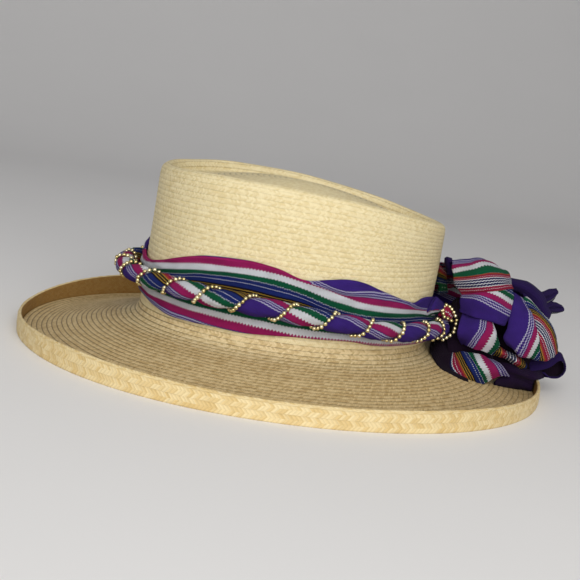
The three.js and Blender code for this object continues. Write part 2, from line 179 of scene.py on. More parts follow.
def lip_height(angle):
    a = np.radians(angle)
    waves = sum(c * np.cos(n * a) + s * np.sin(n * a) for n, c, s in LIP_WAVES)
    return RIM_BOTTOM + RIM_HEIGHT + waves


def normals_of(points, wrap):
    """Unit normals of a grid of points, whose columns run round the hat when wrap is true."""
    if wrap:
        round_step = np.roll(points, -1, 1) - np.roll(points, 1, 1)
    else:
        round_step = np.gradient(points, axis=1)
    down_step = np.gradient(points, axis=0)
    normal = np.cross(down_step, round_step)
    return normal / np.maximum(np.linalg.norm(normal, axis=-1, keepdims=True), 1e-9)


def waviness(points, size, seed):
    """Soft noise from -1 to 1 at each place, with lumps of about the given size in millimetres."""
    shape = points.shape[:-1]
    shift = Vector((seed * 3.7, seed * 1.9, seed * 5.3))
    flat = [noise.noise(Vector(p) / size + shift) for p in points.reshape(-1, 3)]
    return np.array(flat).reshape(shape)


# Meshes

RIM_LOW, RIM_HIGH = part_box("rim_plait")
ORIGIN = np.array(
    [
        (RIM_LOW.x + RIM_HIGH.x) / 2 - BRIM_SHIFT * MM,
        (RIM_LOW.y + RIM_HIGH.y) / 2,
        -RIM_BOTTOM * MM,
    ]
)


def in_frame(points):
    """Millimetres on the hat to metres in the row frame."""
    return np.asarray(points, float) * MM + ORIGIN


def corners(grid):
    """The four corner values of each face of a grid that has a value at each of its points."""
    return np.stack([grid[:-1, :-1], grid[:-1, 1:], grid[1:, 1:], grid[1:, :-1]], -1)


def lofted(name, points, along, across, material, wrap=(False, False), capped=False):
    """A mesh piece from a grid of places. along and across hold each face's corner values."""
    rows, columns = points.shape[:2]
    row = np.arange(rows if wrap[0] else rows - 1)[:, None]
    column = np.arange(columns if wrap[1] else columns - 1)[None, :]

    def number(i, j):
        return (i % rows) * columns + j % columns

    around = [number(row, column), number(row, column + 1)]
    around += [number(row + 1, column + 1), number(row + 1, column)]
    faces = np.stack(around, -1).reshape(-1, 4).tolist()
    uv = np.stack([along, across], -1).reshape(-1, 2)
    if capped:
        first, last = list(range(columns))[::-1], [(rows - 1) * columns + j for j in range(columns)]
        faces += [first, last]
        uv = np.vstack([uv, np.zeros((2 * columns, 2))])
    return woven_piece(name, points.reshape(-1, 3), faces, uv, material)


def woven_piece(name, points, faces, uv, material):
    """A smooth piece that rides on the hat, with its weave's directions as a UV layer."""
    mesh = bpy.data.meshes.new(name)
    mesh.from_pydata(in_frame(points).tolist(), [], faces)
    mesh.uv_layers.new(name="weave").data.foreach_set("uv", uv.astype(np.float32).ravel())
    mesh.polygons.foreach_set("use_smooth", [True] * len(mesh.polygons))
    mesh.materials.append(material)
    mesh.validate()
    piece = bpy.data.objects.new(name, mesh)
    bpy.context.scene.collection.objects.link(piece)
    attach(piece, BODY)
    return piece


def thickened(piece, thickness):
    """Gives a cloth piece its thickness in millimetres, half of it on each side."""
    modifier = piece.modifiers.new("cloth thickness", "SOLIDIFY")
    modifier.thickness = thickness * MM
    modifier.offset = 0
    modifier.use_rim = True


# Materials


def wire(tree, socket, value):
    """Links a socket into another, or sets its value."""
    if isinstance(value, bpy.types.NodeSocket):
        tree.links.new(value, socket)
    else:
        socket.default_value = value


def calc(tree, operation, *values):
    node = tree.nodes.new("ShaderNodeMath")
    node.operation = operation
    for socket, value in zip(node.inputs, values):
        wire(tree, socket, value)
    return node.outputs[0]


def plus(tree, first, second):
    return calc(tree, "ADD", first, second)


def minus(tree, first, second):
    return calc(tree, "SUBTRACT", first, second)


def times(tree, first, second):
    return calc(tree, "MULTIPLY", first, second)


def blended(tree, share, first, second, mode="MIX"):
    node = tree.nodes.new("ShaderNodeMix")
    node.data_type = "RGBA"
    node.blend_type = mode
    wire(tree, node.inputs[0], share)
    wire(tree, node.inputs[6], first)
    wire(tree, node.inputs[7], second)
    return node.outputs[2]


def stepped(tree, value, low, high):
    """0 below low, 1 above high, and smooth between them."""
    node = tree.nodes.new("ShaderNodeMapRange")
    node.interpolation_type = "SMOOTHSTEP"
    for socket, number in zip(node.inputs, (value, low, high, 0.0, 1.0)):
        wire(tree, socket, number)
    return node.outputs[0]


def weave_place(tree, x, y):
    place = tree.nodes.new("ShaderNodeCombineXYZ")
    wire(tree, place.inputs[0], x)
    wire(tree, place.inputs[1], y)
    return place.outputs[0]


def speckle(tree, x, y, scale, detail=2.0):
    """Soft noise from 0 to 1 over two weave directions."""
    node = tree.nodes.new("ShaderNodeTexNoise")
    node.inputs["Scale"].default_value = scale
    node.inputs["Detail"].default_value = detail
    wire(tree, node.inputs["Vector"], weave_place(tree, x, y))
    return node.outputs["Fac"]


def cell_value(tree, x, y):
    """A steady random value from 0 to 1 for each cell of whole numbers."""
    node = tree.nodes.new("ShaderNodeTexWhiteNoise")
    node.noise_dimensions = "2D"
    wire(tree, node.inputs["Vector"], weave_place(tree, x, y))
    return node.outputs["Value"]


def new_material(name, roughness, specular, **uniform):
    """A material with its shader, and the two directions of the weave in millimetres or rows."""
    material = bpy.data.materials.new(name)
    material.use_nodes = True
    tree = material.node_tree
    shader = tree.nodes["Principled BSDF"]
    shader.inputs["Roughness"].default_value = roughness
    shader.inputs["Specular IOR Level"].default_value = specular
    for socket, value in uniform.items():
        shader.inputs[socket].default_value = value
    place = tree.nodes.new("ShaderNodeUVMap")
    place.uv_map = "weave"
    split = tree.nodes.new("ShaderNodeSeparateXYZ")
    tree.links.new(place.outputs[0], split.inputs[0])
    return material, tree, shader, split.outputs[0], split.outputs[1]


def raised(tree, shader, height, distance):
    """Gives the shader's surface a relief whose full height is the distance in millimetres."""
    bump = tree.nodes.new("ShaderNodeBump")
    bump.inputs["Distance"].default_value = distance * MM
    bump.inputs["Strength"].default_value = 1.0
    wire(tree, bump.inputs["Height"], height)
    tree.links.new(bump.outputs[0], shader.inputs["Normal"])


def linear(red, green, blue):
    """A colour given as it looks on a screen, from 0 to 255, as the shader wants it."""
    channels = []
    for value in (red, green, blue):
        share = value / 255
        channels.append(share / 12.92 if value < 10.3 else ((share + 0.055) / 1.055) ** 2.4)
    return (*channels, 1.0)


def darkened(colour, red, green, blue):
    """The colour with each of its channels cut to a share."""
    return (colour[0] * red, colour[1] * green, colour[2] * blue, 1.0)


# Straw: what a strand, a patch and a leaf's grain add to its darkness, and the range that shows
STRAND_TONE = 0.48
PATCH_TONE = 0.36
GRAIN_TONE = 0.25
TONE_RANGE = (0.27, 0.92)
# Each row's strands stand this far past the row's above, in strands
ROW_SHIFT = 0.37
# Of the way from a row's middle to its edge: where the line between the rows begins
LINE_START = 0.72
STRAW_RELIEF = 0.22
# Multiplier for painted warm shade on the rows of the rim's inner face
INNER_SHADE_STRAW = (0.44, 0.31, 0.16, 1.0)
# Multiplier for painted light on the brim's rows next to the crown
PAINTED_LIGHT_STRAW = (1.13, 1.2, 1.32, 1.0)


def straw_material(name, light, dark, strand, line_depth, inner_shade_rows=0, grooved=0, lit_rows=0, front_shade_pitch=0):
    """Sewn rows of palm plait: slanted strands that meet in the middle of each row.

    Rows below the count for the inner shade carry painted warm shade, as on the rim's inner face;
    those below grooved get darker painted shade in the lines between them; and those below the
    count for the light carry painted light, as on the brim next to the crown. With the rows' pitch
    given for the front, the lines between rows carry more painted shade towards the wearer's front."""
    material, tree, shader, along, across = new_material(name, 0.55, 0.35)
    row = calc(tree, "FLOOR", across)
    share = minus(tree, across, row)
    edge = times(tree, calc(tree, "ABSOLUTE", minus(tree, share, 0.5)), 2.0)
    shifted = plus(tree, calc(tree, "DIVIDE", along, strand), times(tree, row, ROW_SHIFT))
    slant = plus(tree, shifted, edge)
    wave = calc(tree, "SINE", times(tree, slant, 2 * math.pi))
    half = calc(tree, "GREATER_THAN", share, 0.5)
    tone = cell_value(tree, calc(tree, "FLOOR", slant), plus(tree, times(tree, row, 2.0), half))
    patches = speckle(tree, along, times(tree, across, 3.5), 0.035, 3.0)
    grain = speckle(tree, times(tree, along, 0.6), times(tree, across, 9.0), 1.2)
    line = stepped(tree, edge, LINE_START, 1.0)
    dip = stepped(tree, times(tree, wave, -1.0), 0.45, 1.0)

    mixed = plus(tree, times(tree, tone, STRAND_TONE), times(tree, patches, PATCH_TONE))
    mixed = plus(tree, mixed, times(tree, grain, GRAIN_TONE))
    colour = blended(tree, stepped(tree, mixed, *TONE_RANGE), light, dark)
    # Painted light: the rows next to the crown are lightened and cooled
    if lit_rows:
        lit_share = stepped(tree, across, lit_rows + 2.5, lit_rows - 0.5)
        colour = blended(tree, lit_share, colour, PAINTED_LIGHT_STRAW, "MULTIPLY")
    # Painted warm shade on the rows of the rim's inner face
    if inner_shade_rows:
        in_inner_shade = calc(tree, "LESS_THAN", across, inner_shade_rows)
        colour = blended(tree, in_inner_shade, colour, INNER_SHADE_STRAW, "MULTIPLY")

    # Painted shade in the lines between rows and in the dips between strands, broken into dashes by each
    # strand's tone
    broken = plus(tree, times(tree, tone, 0.9), 0.12)
    # More painted shade in the lines between rows towards the wearer's front, where light grazes the rows
    if front_shade_pitch:
        turn = calc(tree, "DIVIDE", along, plus(tree, times(tree, row, front_shade_pitch), CROWN_RADIUS))
        front = stepped(tree, calc(tree, "ABSOLUTE", minus(tree, turn, math.pi)), 1.0, 0.5)
        broken = plus(tree, broken, times(tree, front, 0.8))
    depth = plus(tree, times(tree, calc(tree, "LESS_THAN", across, grooved), 0.85), line_depth)
    shadow = plus(tree, times(tree, times(tree, line, depth), broken), times(tree, dip, 0.2))
    wire(tree, shader.inputs["Base Color"], blended(tree, shadow, colour, darkened(dark, 0.35, 0.35, 0.35)))

    height = plus(tree, times(tree, wave, 0.32), times(tree, grain, 0.35))
    height = minus(tree, height, times(tree, line, 0.3 + line_depth * 1.4))
    raised(tree, shader, height, STRAW_RELIEF)
    return material


PURPLE = linear(58, 36, 118)
LILAC = linear(176, 172, 198)
MAGENTA = linear(152, 30, 92)
WHITE = linear(216, 218, 224)
GREEN = linear(12, 82, 54)
BLUE = linear(26, 40, 104)
NAVY = linear(24, 30, 78)
BLACK = linear(24, 18, 28)
GOLD = linear(176, 142, 52)
ORANGE = linear(158, 62, 46)
CRIMSON = linear(146, 26, 62)
# Stripes of the cloth from its edge to its middle, where they turn back: (ends at mm, colour)
STRIPES = (
    (8.2, PURPLE),
    (8.8, LILAC),
    (9.6, PURPLE),
    (10.2, LILAC),
    (11.0, PURPLE),
    (11.6, LILAC),
    (12.2, PURPLE),
    (16.5, MAGENTA),
    (20.5, WHITE),
    (24.4, GREEN),
    (30.5, BLUE),
    (31.5, BLACK),
    (32.0, GOLD),
    (33.0, BLACK),
    (33.5, GOLD),
    (34.5, BLACK),
    (35.0, GOLD),
    (36.2, ORANGE),
    (39.5, CRIMSON),
    (40.2, WHITE),
    (41.6, NAVY),
    (42.3, WHITE),
    (43.1, NAVY),
)
CLOTH_HALF = 43.0
# Dotted lines of white weft: (from mm, to mm)
DOTTED = ((24.5, 25.1), (27.4, 27.8), (37.8, 38.2))
# The weft steps back and forth at a stripe's edge, further at some stripes than at others:
# (millimetres more, places between which this comes in, places between which it goes again)
STEP = 0.3
BROAD_STEP = (0.7, (13.0, 15.0), (26.0, 24.6))
NARROW_STEP = (0.2, (28.0, 12.0))
BAND_STEP = (0.35, (39.2, 40.2))
WARP_PITCH = 0.55
WEFT_PITCH = 0.7
CLOTH_RELIEF = 0.14


def stripe_colour(tree, place):
    """The stripes' colours at a place of the pattern from 0 to CLOTH_HALF."""
    ramp = tree.nodes.new("ShaderNodeValToRGB")
    ramp.color_ramp.interpolation = "CONSTANT"
    points = ramp.color_ramp.elements
    points.remove(points[1])
    start = 0.0
    for count, (end, colour) in enumerate(STRIPES):
        point = points.new(start) if count else points[0]
        point.position = start
        point.color = colour
        start = end / CLOTH_HALF
    wire(tree, ramp.inputs[0], calc(tree, "DIVIDE", place, CLOTH_HALF))
    return ramp.outputs[0]


def cloth_material(name, shade, tint=(1.0, 1.0, 1.0)):
    """Striped cotton: fine warp lines along the stripes, and stripe edges that step with the weft."""
    uniform = {"Sheen Weight": 0.02, "Sheen Roughness": 0.5}
    material, tree, shader, along, across = new_material(name, 0.88, 0.06, **uniform)
    place = calc(tree, "PINGPONG", across, CLOTH_HALF)
    more, comes, goes = BROAD_STEP
    broad = times(tree, stepped(tree, place, *comes), stepped(tree, place, *goes))
    reach = plus(tree, times(tree, broad, more), STEP)
    for more, comes in (NARROW_STEP, BAND_STEP):
        reach = plus(tree, reach, times(tree, stepped(tree, place, *comes), more))
    tooth = times(tree, minus(tree, calc(tree, "PINGPONG", along, 1.0), 0.5), reach)
    wobble = times(tree, minus(tree, speckle(tree, along, across, 0.25), 0.5), 0.6)
    moved = calc(tree, "PINGPONG", plus(tree, across, plus(tree, tooth, wobble)), CLOTH_HALF)
    colour = stripe_colour(tree, moved)
    dot = calc(tree, "LESS_THAN", calc(tree, "PINGPONG", along, 0.7), 0.36)
    for low, high in DOTTED:
        within = times(tree, calc(tree, "GREATER_THAN", moved, low), calc(tree, "LESS_THAN", moved, high))
        colour = blended(tree, times(tree, within, dot), colour, WHITE)

    warp = calc(tree, "SINE", times(tree, across, 2 * math.pi / WARP_PITCH))
    weft = calc(tree, "SINE", times(tree, along, 2 * math.pi / WEFT_PITCH))
    thread = times(tree, warp, weft)
    fade = speckle(tree, along, across, 0.12, 3.0)
    wear_and_shade = plus(tree, times(tree, fade, 0.5), times(tree, thread, 0.3))
    # Wear and thread vary the brightness; shade and tint then darken the whole cloth, which for the shaded
    # copies of the cloth is painted shade
    dimmed = times(tree, plus(tree, wear_and_shade, 0.72), shade)
    cast = tree.nodes.new("ShaderNodeCombineColor")
    for socket, share in zip(cast.inputs, tint):
        wire(tree, socket, times(tree, dimmed, share))
    wire(tree, shader.inputs["Base Color"], blended(tree, 1.0, colour, cast.outputs[0], "MULTIPLY"))
    raised(tree, shader, plus(tree, thread, times(tree, warp, 0.8)), CLOTH_RELIEF)
    return material


def bead_material(name):
    """Pale gold beads, each a little lighter or darker than the next."""
    material, tree, shader, along, _ = new_material(name, 0.2, 0.6, **{"Metallic": 0.85})
    tone = cell_value(tree, calc(tree, "FLOOR", along), 0.0)
    colour = blended(tree, tone, linear(198, 180, 122), linear(240, 230, 188))
    wire(tree, shader.inputs["Base Color"], colour)
    wire(tree, shader.inputs["Roughness"], plus(tree, times(tree, tone, 0.12), 0.16))
    return material


# Straw pieces

# Within a row of plait: (share of the row, height as a share of the row's relief)
ROW_RELIEF = ((0.0, 0.0), (0.09, 0.62), (0.3, 1.0), (0.6, 0.95), (0.82, 0.72), (0.94, 0.4))


def plait_steps(count):
    """Row values for a count of plait rows, and the relief at each."""
    values = [(row + share, relief) for row in range(count) for share, relief in ROW_RELIEF]
    values.append((float(count), 0.0))
    return np.array(values).T


def plait_along(radius_of_row, rows, angles):
    """Corner values along the plait, which keep to one radius within each row."""
    middle = (rows[1:] + rows[:-1]) / 2
    radius = radius_of_row(np.floor(middle))[:, None]
    turn = np.radians(np.append(angles, 360.0))[None, :]
    left, right = radius * turn[:, :-1], radius * turn[:, 1:]
    return np.stack([left, right, right, left], -1)


def plait_across(rows, angles):
    """Corner values across the plait: the row at each ring."""
    return corners(np.repeat(rows[:, None], len(angles) + 1, 1))


def round_angles(count):
    return np.arange(count) * 360.0 / count


def outward_normals(points, middle):
    """Unit normals of rings round the hat, turned away from what is in their middle."""
    normal = normals_of(points, True)
    return normal * np.sign((normal * (points - middle)).sum(-1))[..., None]


# The crown's top edge in section, from its sunken tip outwards: (inset from the wall, drop)
EDGE_OUTSIDE = ((16, 8.2), (9, 7.3), (7.4, 3.4), (5.2, 0.3), (2.6, 0.3), (0.5, 2.6), (0, 6))
EDGE_INSIDE = ((2, 6.5), (3.9, 2.6), (6, 7.6), (9.5, 9.8), (16, 10.2))
TIP_SHARE = 1 - EDGE_OUTSIDE[0][0] / (CROWN_LENGTH / 2)
EDGE_ROWS = 7
UPPER_ROWS = 11
LOWER_ROWS = 15
CROWN_COLUMNS = 240
CROWN_RELIEF = 0.7
CROWN_LUMPS = 0.45
CROWN_CENTRE = (CROWN_LEAN / 2, 0, 50.0)


def tip_ring(angles, share, thickness):
    """A ring of the sunken tip, for a share of the way from its middle to the crown's top edge."""
    return tip_point(angles, share * TIP_SHARE, TIP_DROP - TIP_DOME * (1 - share**2) + thickness)


def crown_outside(angles, pitch):
    """Rings of the outer face from the tip's middle to the foot, with each one's row and relief."""
    edge = top_height(angles, 1)
    wall_top = edge - EDGE_OUTSIDE[-1][1]
    lower_top = SEAM_HEIGHT + LOWER_ROWS * pitch
    tip_rows = round(CROWN_RADIUS * TIP_SHARE / pitch)

    def on_tip(row):
        return tip_ring(angles, row / tip_rows, 0)

    def on_edge(row):
        inset, drop = smooth_path(EDGE_OUTSIDE, [row / EDGE_ROWS])[0]
        return crown_point(angles, edge - drop, -inset)

    def on_upper_wall(row):
        return crown_point(angles, wall_top + (lower_top - wall_top) * row / UPPER_ROWS, 0)

    def on_lower_wall(row):
        return crown_point(angles, lower_top - row * pitch, 0)

    stretches = (
        (tip_rows, on_tip, 2.0, -0.5),
        (EDGE_ROWS, on_edge, 0.7, 0.0),
        (UPPER_ROWS, on_upper_wall, 1.0, 0.0),
        (LOWER_ROWS, on_lower_wall, 1.0, 0.0),
    )
    rings, rows, reliefs, done = [], [], [], 0
    for count, ring_at, strength, shift in stretches:
        for row, relief in list(zip(*plait_steps(count)))[:-1]:
            rings.append(ring_at(row))
            rows.append(done + row)
            reliefs.append(relief * strength + shift)
        done += count
    rings.append(on_lower_wall(LOWER_ROWS))
    rows.append(done)
    reliefs.append(0.0)
    return np.array(rings)[1:], np.array(rows)[1:], np.array(reliefs)[1:]


def crown_inside(angles):
    """Rings of the inner face from the foot to the tip's middle."""
    edge = top_height(angles, 1)
    wall_top = edge - EDGE_INSIDE[0][1]
    rings = [crown_point(angles, SEAM_HEIGHT + 0.1, -STRAW)]
    for share in np.linspace(0.1, 1, 9):
        rings.append(crown_point(angles, SEAM_HEIGHT + (wall_top - SEAM_HEIGHT) * share, -STRAW))
    for share in np.linspace(0.08, 1, 12):
        inset, drop = smooth_path(EDGE_INSIDE, [share])[0]
        rings.append(crown_point(angles, edge - drop, -inset))
    for share in np.linspace(0.92, 0.03, 10):
        rings.append(tip_ring(angles, share, STRAW))
    return np.array(rings)


def build_crown(settings, material):
    pitch, relief = settings.row_pitch / MM, settings.row_relief / MM * CROWN_RELIEF
    angles = round_angles(CROWN_COLUMNS)
    outer, rows, reliefs = crown_outside(angles, pitch)
    normal = outward_normals(outer, CROWN_CENTRE)
    lumps = waviness(outer, 28.0, 1)[..., None] * CROWN_LUMPS
    outer += normal * ((reliefs[:, None, None] - 0.5) * relief + lumps)
    inner = crown_inside(angles)
    rows = np.append(rows, rows[-1] + np.arange(1, len(inner) + 1) * 0.9)
    along = plait_along(lambda row: np.clip((row + 0.5) * pitch, 1.5, CROWN_RADIUS), rows, angles)
    points = np.concatenate([outer, inner])
    across = plait_across(rows, angles)
    piece = lofted("crown_plait", points, along, across, material, (False, True), capped=True)
    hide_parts("crown")


# The brim in section: (distance out from the crown, height)
BRIM_TOP = (
    (0, 9),
    (0.5, 5.8),
    (2.4, 3),
    (7, 0.4),
    (20, -3.3),
    (34, -7),
    (48, -10.8),
    (62, -14.4),
    (70, -15.5),
)
BRIM_EDGE = (81.2, -15.6)
BRIM_FOOT = (81.2, -17.4)
BRIM_UNDER = ((70, -17.4), (61.5, -16.4), (33.5, -9), (6.3, -1.6), (0.6, 1.2), (-2, 5.8), (-2, 9))
BRIM_COLUMNS = 288
BRIM_SAG = 0.9


def distance_along(places):
    """How far each place of a line is from its first, along the line."""
    return np.append(0, np.cumsum(np.linalg.norm(np.diff(places, axis=0), axis=1)))


def build_brim(settings, material):
    pitch, relief = settings.row_pitch / MM, settings.row_relief / MM
    angles = round_angles(BRIM_COLUMNS)
    line = smooth_path(BRIM_TOP + (BRIM_EDGE,), np.linspace(0, 1, 400))
    length = distance_along(line)
    count = round(length[-1] / pitch)
    values, reliefs = plait_steps(count)
    outset = np.interp(values / count * length[-1], length, line[:, 0])
    height = np.interp(values / count * length[-1], length, line[:, 1])
    top = np.array([brim_point(angles, o, h) for o, h in zip(outset, height)])
    normal = normals_of(top, True)
    normal *= np.sign(normal[..., 2].mean())
    free = np.clip(outset / 30, 0, 1) * np.clip((BRIM_EDGE[0] - outset) / 15, 0, 1)
    sag = (waviness(top, 60.0, 2) * free[:, None])[..., None] * BRIM_SAG
    top += normal * ((reliefs[:, None, None] - 0.4) * relief + sag)

    under_line = smooth_path((BRIM_FOOT,) + BRIM_UNDER, np.linspace(0, 1, 110))
    under_height = under_line[:, 1] - 0.12 * relief * np.cos(2 * math.pi * under_line[:, 0] / pitch)
    under = np.array([brim_point(angles, o, h) for (o, _), h in zip(under_line, under_height)])
    under_rows = count + 1 + (BRIM_FOOT[0] - under_line[:, 0]) / pitch
    rows = np.concatenate([values, under_rows, [under_rows[-1] + 0.5]])

    def radius(row):
        return CROWN_RADIUS + np.where(row < count, row, np.clip(2 * count - row, 0, count)) * pitch

    along, across = plait_along(radius, rows, angles), plait_across(rows, angles)
    piece = lofted("brim_plait", np.concatenate([top, under]), along, across, material, (True, True))
    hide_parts("brim")


RIM_COLUMNS = 720
RIM_STEPS = 9
RIM_RADIUS = 176.0
# Over the lip: (distance out from the inner face, drop)
LIP_SECTION = ((0.8, 0.15), (1.6, 0.0), (2.3, 0.4))


def build_rim(material):
    angles = round_angles(RIM_COLUMNS)
    lip = lip_height(angles)
    inner, outer = BRIM_WIDTH - RIM_THICKNESS, BRIM_WIDTH + 0.4
    rings, rows, puff = [], [], []

    def add_ring(outset, height, row, lumps):
        rings.append(brim_point(angles, outset, height))
        rows.append(row)
        puff.append(lumps)

    for share in np.linspace(0, 1, RIM_STEPS + 1):
        height = RIM_BOTTOM + (lip - 0.6 - RIM_BOTTOM) * share
        add_ring(inner + 0.4 * share, height, share * 4, 0.35 if share > 0 else 0.0)
    for out, drop in LIP_SECTION:
        add_ring(inner + out, lip - drop, 4.0 + out / 8, 0.3)
    for share in np.linspace(0, 1, RIM_STEPS + 3)[1:]:
        height = lip - 0.9 + (RIM_BOTTOM - lip + 0.9) * share
        add_ring(outer - 0.35 * abs(share - 0.5), height, 5.0 + share * 2, 0.55 if share < 1 else 0.0)
    points = np.array(rings)
    normal = outward_normals(points, brim_point(angles, (inner + outer) / 2, (lip + RIM_BOTTOM) / 2))
    lumps = waviness(points, 3.2, 3) * 0.6 + waviness(points, 9.0, 4) * 0.5
    points += normal * (lumps * np.array(puff)[:, None])[..., None]
    points[..., 2] = np.maximum(points[..., 2], RIM_BOTTOM)
    rows = np.array(rows + [rows[-1] + 0.6])
    along = plait_along(lambda row: np.full(row.shape, RIM_RADIUS), rows, angles)
    piece = lofted("rim_band", points, along, plait_across(rows, angles), material, (True, True))
    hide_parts("rim_plait")


# Sash

# Heights of the cloth's lines on the wearer's left, at angles from the back. The columns that end
# in cloth are places in the stripe pattern, in millimetres.
SASH_COLUMNS = (
    "angle", "top", "top_cloth", "magenta", "white", "green", "navy", "black", "low_green", "low_white",
    "foot", "foot_cloth",
)
SASH_ROWS = (
    (0, 37, 4, 30, 27.5, 25.5, 24, 22, 17, 12, 11, 70),
    (15, 38.7, 2, 31.5, 29.8, 27.5, 26.1, 24.2, 17.5, 12.5, 11.2, 70),
    (27, 42.6, 1, 33, 32.5, 30, 28.3, 25.6, 18, 12.8, 11.6, 70),
    (38, 43.3, 2, 36, 35.3, 33, 30.5, 26.7, 18.3, 13, 11.9, 70),
    (44, 40.7, 6, 37.3, 36.4, 34, 30.9, 27, 18.5, 13.2, 12, 70),
    (49, 42, 9, 40, 37.2, 34.4, 31, 27.1, 18.6, 13.4, 12.1, 70),
    (57, 45.7, 9, 42.7, 38.3, 35, 31.2, 27.4, 18.8, 13.8, 12.4, 70),
    (63, 48.8, 7.5, 43.8, 39.2, 35.8, 31.5, 28, 19, 14.3, 12.9, 70),
    (71, 53.2, 5, 44.8, 41, 37.1, 32.3, 29.9, 19.2, 15.6, 14.9, 70),
    (79, 54.6, 3.8, 45.1, 44.3, 39.7, 34.4, 31.5, 19.4, 15.8, 15.1, 70),
    (85, 53.2, 5, 47.5, 47.3, 42.2, 37.4, 33.7, 19.7, 15.8, 15, 70),
    (93, 51.2, 12.5, 50.7, 50.1, 46.1, 41.6, 37.6, 20.4, 15.9, 14.8, 70.3),
    (103, 55.9, 13.7, 54.5, 53.1, 49.3, 44.9, 39.4, 21.4, 17.2, 13.5, 73),
    (112, 57.6, 12.5, 55.6, 53.6, 49.6, 46, 40.8, 22, 18, 12.4, 74.2),
    (121, 57.5, 12, 54.9, 52.3, 48.9, 45.2, 40.6, 22.4, 18.6, 12.5, 74.5),
    (132, 55, 12, 52.7, 50.3, 46.3, 43.1, 39.2, 22.5, 19.1, 12, 76),
    (145, 49.1, 13.5, 47.6, 46.1, 42.1, 38.5, 36, 23, 19.5, 12.2, 77),
    (156, 43.8, 15, 43.0, 42.2, 38.3, 35.4, 33.4, 23.5, 20, 15.2, 78),
    (168, 41, 15.5, 40.3, 39.5, 35.6, 33, 31, 24.5, 21.5, 18.2, 79),
    (180, 44, 15.5, 42.8, 41.5, 37.5, 34.5, 32, 26, 23, 20, 79),
)
# The top's height on the wearer's right, and the roll's on both sides: (angle from the back, height)
SASH_TOP_RIGHT = ((0, 38), (20, 41), (48, 45), (75, 52), (95, 50), (120, 56), (145, 52), (168, 50), (180, 46))
ROLL_HEIGHT = (
    (0, 19),
    (20, 20.7),
    (40, 22.9),
    (55, 23.7),
    (67, 25.4),
    (80, 28.2),
    (95, 30.7),
    (112, 32.4),
    (140, 32.6),
    (180, 33),
)
SASH_THICKNESS = 0.6
SASH_TURN_RADIUS = CROWN_RADIUS + SASH_PUFF
# Places in the stripe pattern, in millimetres from the cloth's edge
PINS_START = 8.2
PINS_END = 12.0
MAGENTA_END = 16.5


def side_angle(angle):
    """The angle from the back on either side, from 0 to 180."""
    return np.abs((np.asarray(angle, float) + 180) % 360 - 180)


def roll_height(angle):
    return smooth_value(*np.array(ROLL_HEIGHT).T, side_angle(angle))


def roll_middle(angle):
    front = np.clip((side_angle(angle) - 140) / 40, 0, 1)
    front = front * front * (3 - 2 * front)
    stand_off = ROLL_STAND_OFF + (ROLL_FRONT_STAND_OFF - ROLL_STAND_OFF) * front
    return crown_point(angle, roll_height(angle), stand_off)


def outwards(angle):
    """The crown's outward direction at an angle."""
    a = np.radians(angle)
    direction = stacked(np.cos(a) * CROWN_WIDTH, np.sin(a) * CROWN_LENGTH, 0)
    return direction / np.linalg.norm(direction, axis=-1, keepdims=True)


def sash_lines(angles):
    """The cloth's lines round the crown, top to foot, as (height, outset, cloth) at each angle."""
    side, right = side_angle(angles), angles < 180
    shifted = np.where(right, side + 9 * np.sin(np.radians(2 * side)), side)
    table = dict(zip(SASH_COLUMNS, np.array(SASH_ROWS, float).T))
    at = {name: smooth_value(table["angle"], values, shifted) for name, values in table.items()}

    more_purple = 12 * np.clip((180 - angles) / 6, 0, 1) * np.clip(angles / 30, 0, 1)
    right_cloth = np.maximum(at["top_cloth"] - more_purple, np.minimum(at["top_cloth"], 1.5))
    top, top_cloth, bed = at["top"], np.where(right, right_cloth, at["top_cloth"]), roll_height(angles)
    magenta = np.minimum(at["magenta"], top - 0.4)
    magenta_cloth = np.where(top_cloth < 11, PINS_END, (top_cloth + MAGENTA_END) / 2)
    purple_shows = top_cloth < 7.5
    purple_cloth = np.where(purple_shows, PINS_START, (top_cloth + magenta_cloth) / 2)
    pins = (PINS_END - PINS_START) / (PINS_END - np.minimum(top_cloth, 7.5)) * np.clip(top_cloth / 6, 0.45, 1)
    pins_height = magenta + (top - magenta) * np.where(purple_shows, pins, 0.5)
    black = np.maximum(at["black"], bed + 1.5)
    foot, foot_cloth = at["foot"], at["foot_cloth"]
    lines = [
        (top - 10.0, 0.9, top_cloth - 10.0),
        (top - 2.5, 1.0, top_cloth - 2.5),
        (top - 0.2, 1.6, top_cloth - 0.6),
        (top, 2.4, top_cloth),
        (top - 0.8, 3.1, top_cloth + 0.9),
        (pins_height, 3.5, purple_cloth),
        (magenta, 3.3, magenta_cloth),
        (at["white"], 3.4, MAGENTA_END),
        (at["green"], 3.5, 20.5),
        (at["navy"], 3.3, 25.5),
        (black, 2.9, 30.5),
        (np.minimum(black - 1.5, bed + 3.4), 1.4, 35.0),
        (bed + 1.4, 3.4, 39.0),
        (bed + 0.4, 0.5, 43.0),
        (bed - 0.6, 3.4, 47.0),
        (bed - 1.6, 0.5, 51.5),
        (bed - 2.8, 2.8, 56.0),
        ((bed - 2.8 + at["low_green"]) / 2, 3.0, 61.0),
        (at["low_green"], 3.3, 65.5),
        (np.maximum(at["low_white"], foot + 0.5), 3.4, 69.5),
        (foot + 0.4, 3.1, foot_cloth - 0.6),
        (foot, 2.3, foot_cloth),
        (foot + 0.5, 1.3, foot_cloth + 0.8),
        (foot + 7.5, 0.9, foot_cloth + 8.0),
    ]
    raised_by = np.where(right, np.interp(side, *np.array(SASH_TOP_RIGHT).T) - top, 0)
    raised_by *= np.clip(angles / 20, 0, 1) * np.clip(np.abs(angles - 180) / 15, 0, 1)
    result = []
    for height, outset, cloth in lines:
        lift = np.clip((height - bed) / np.maximum(top - bed, 1), 0, 1) * raised_by
        result.append(stacked(height + lift, outset, cloth + np.zeros(angles.shape)))
    return np.array(result)


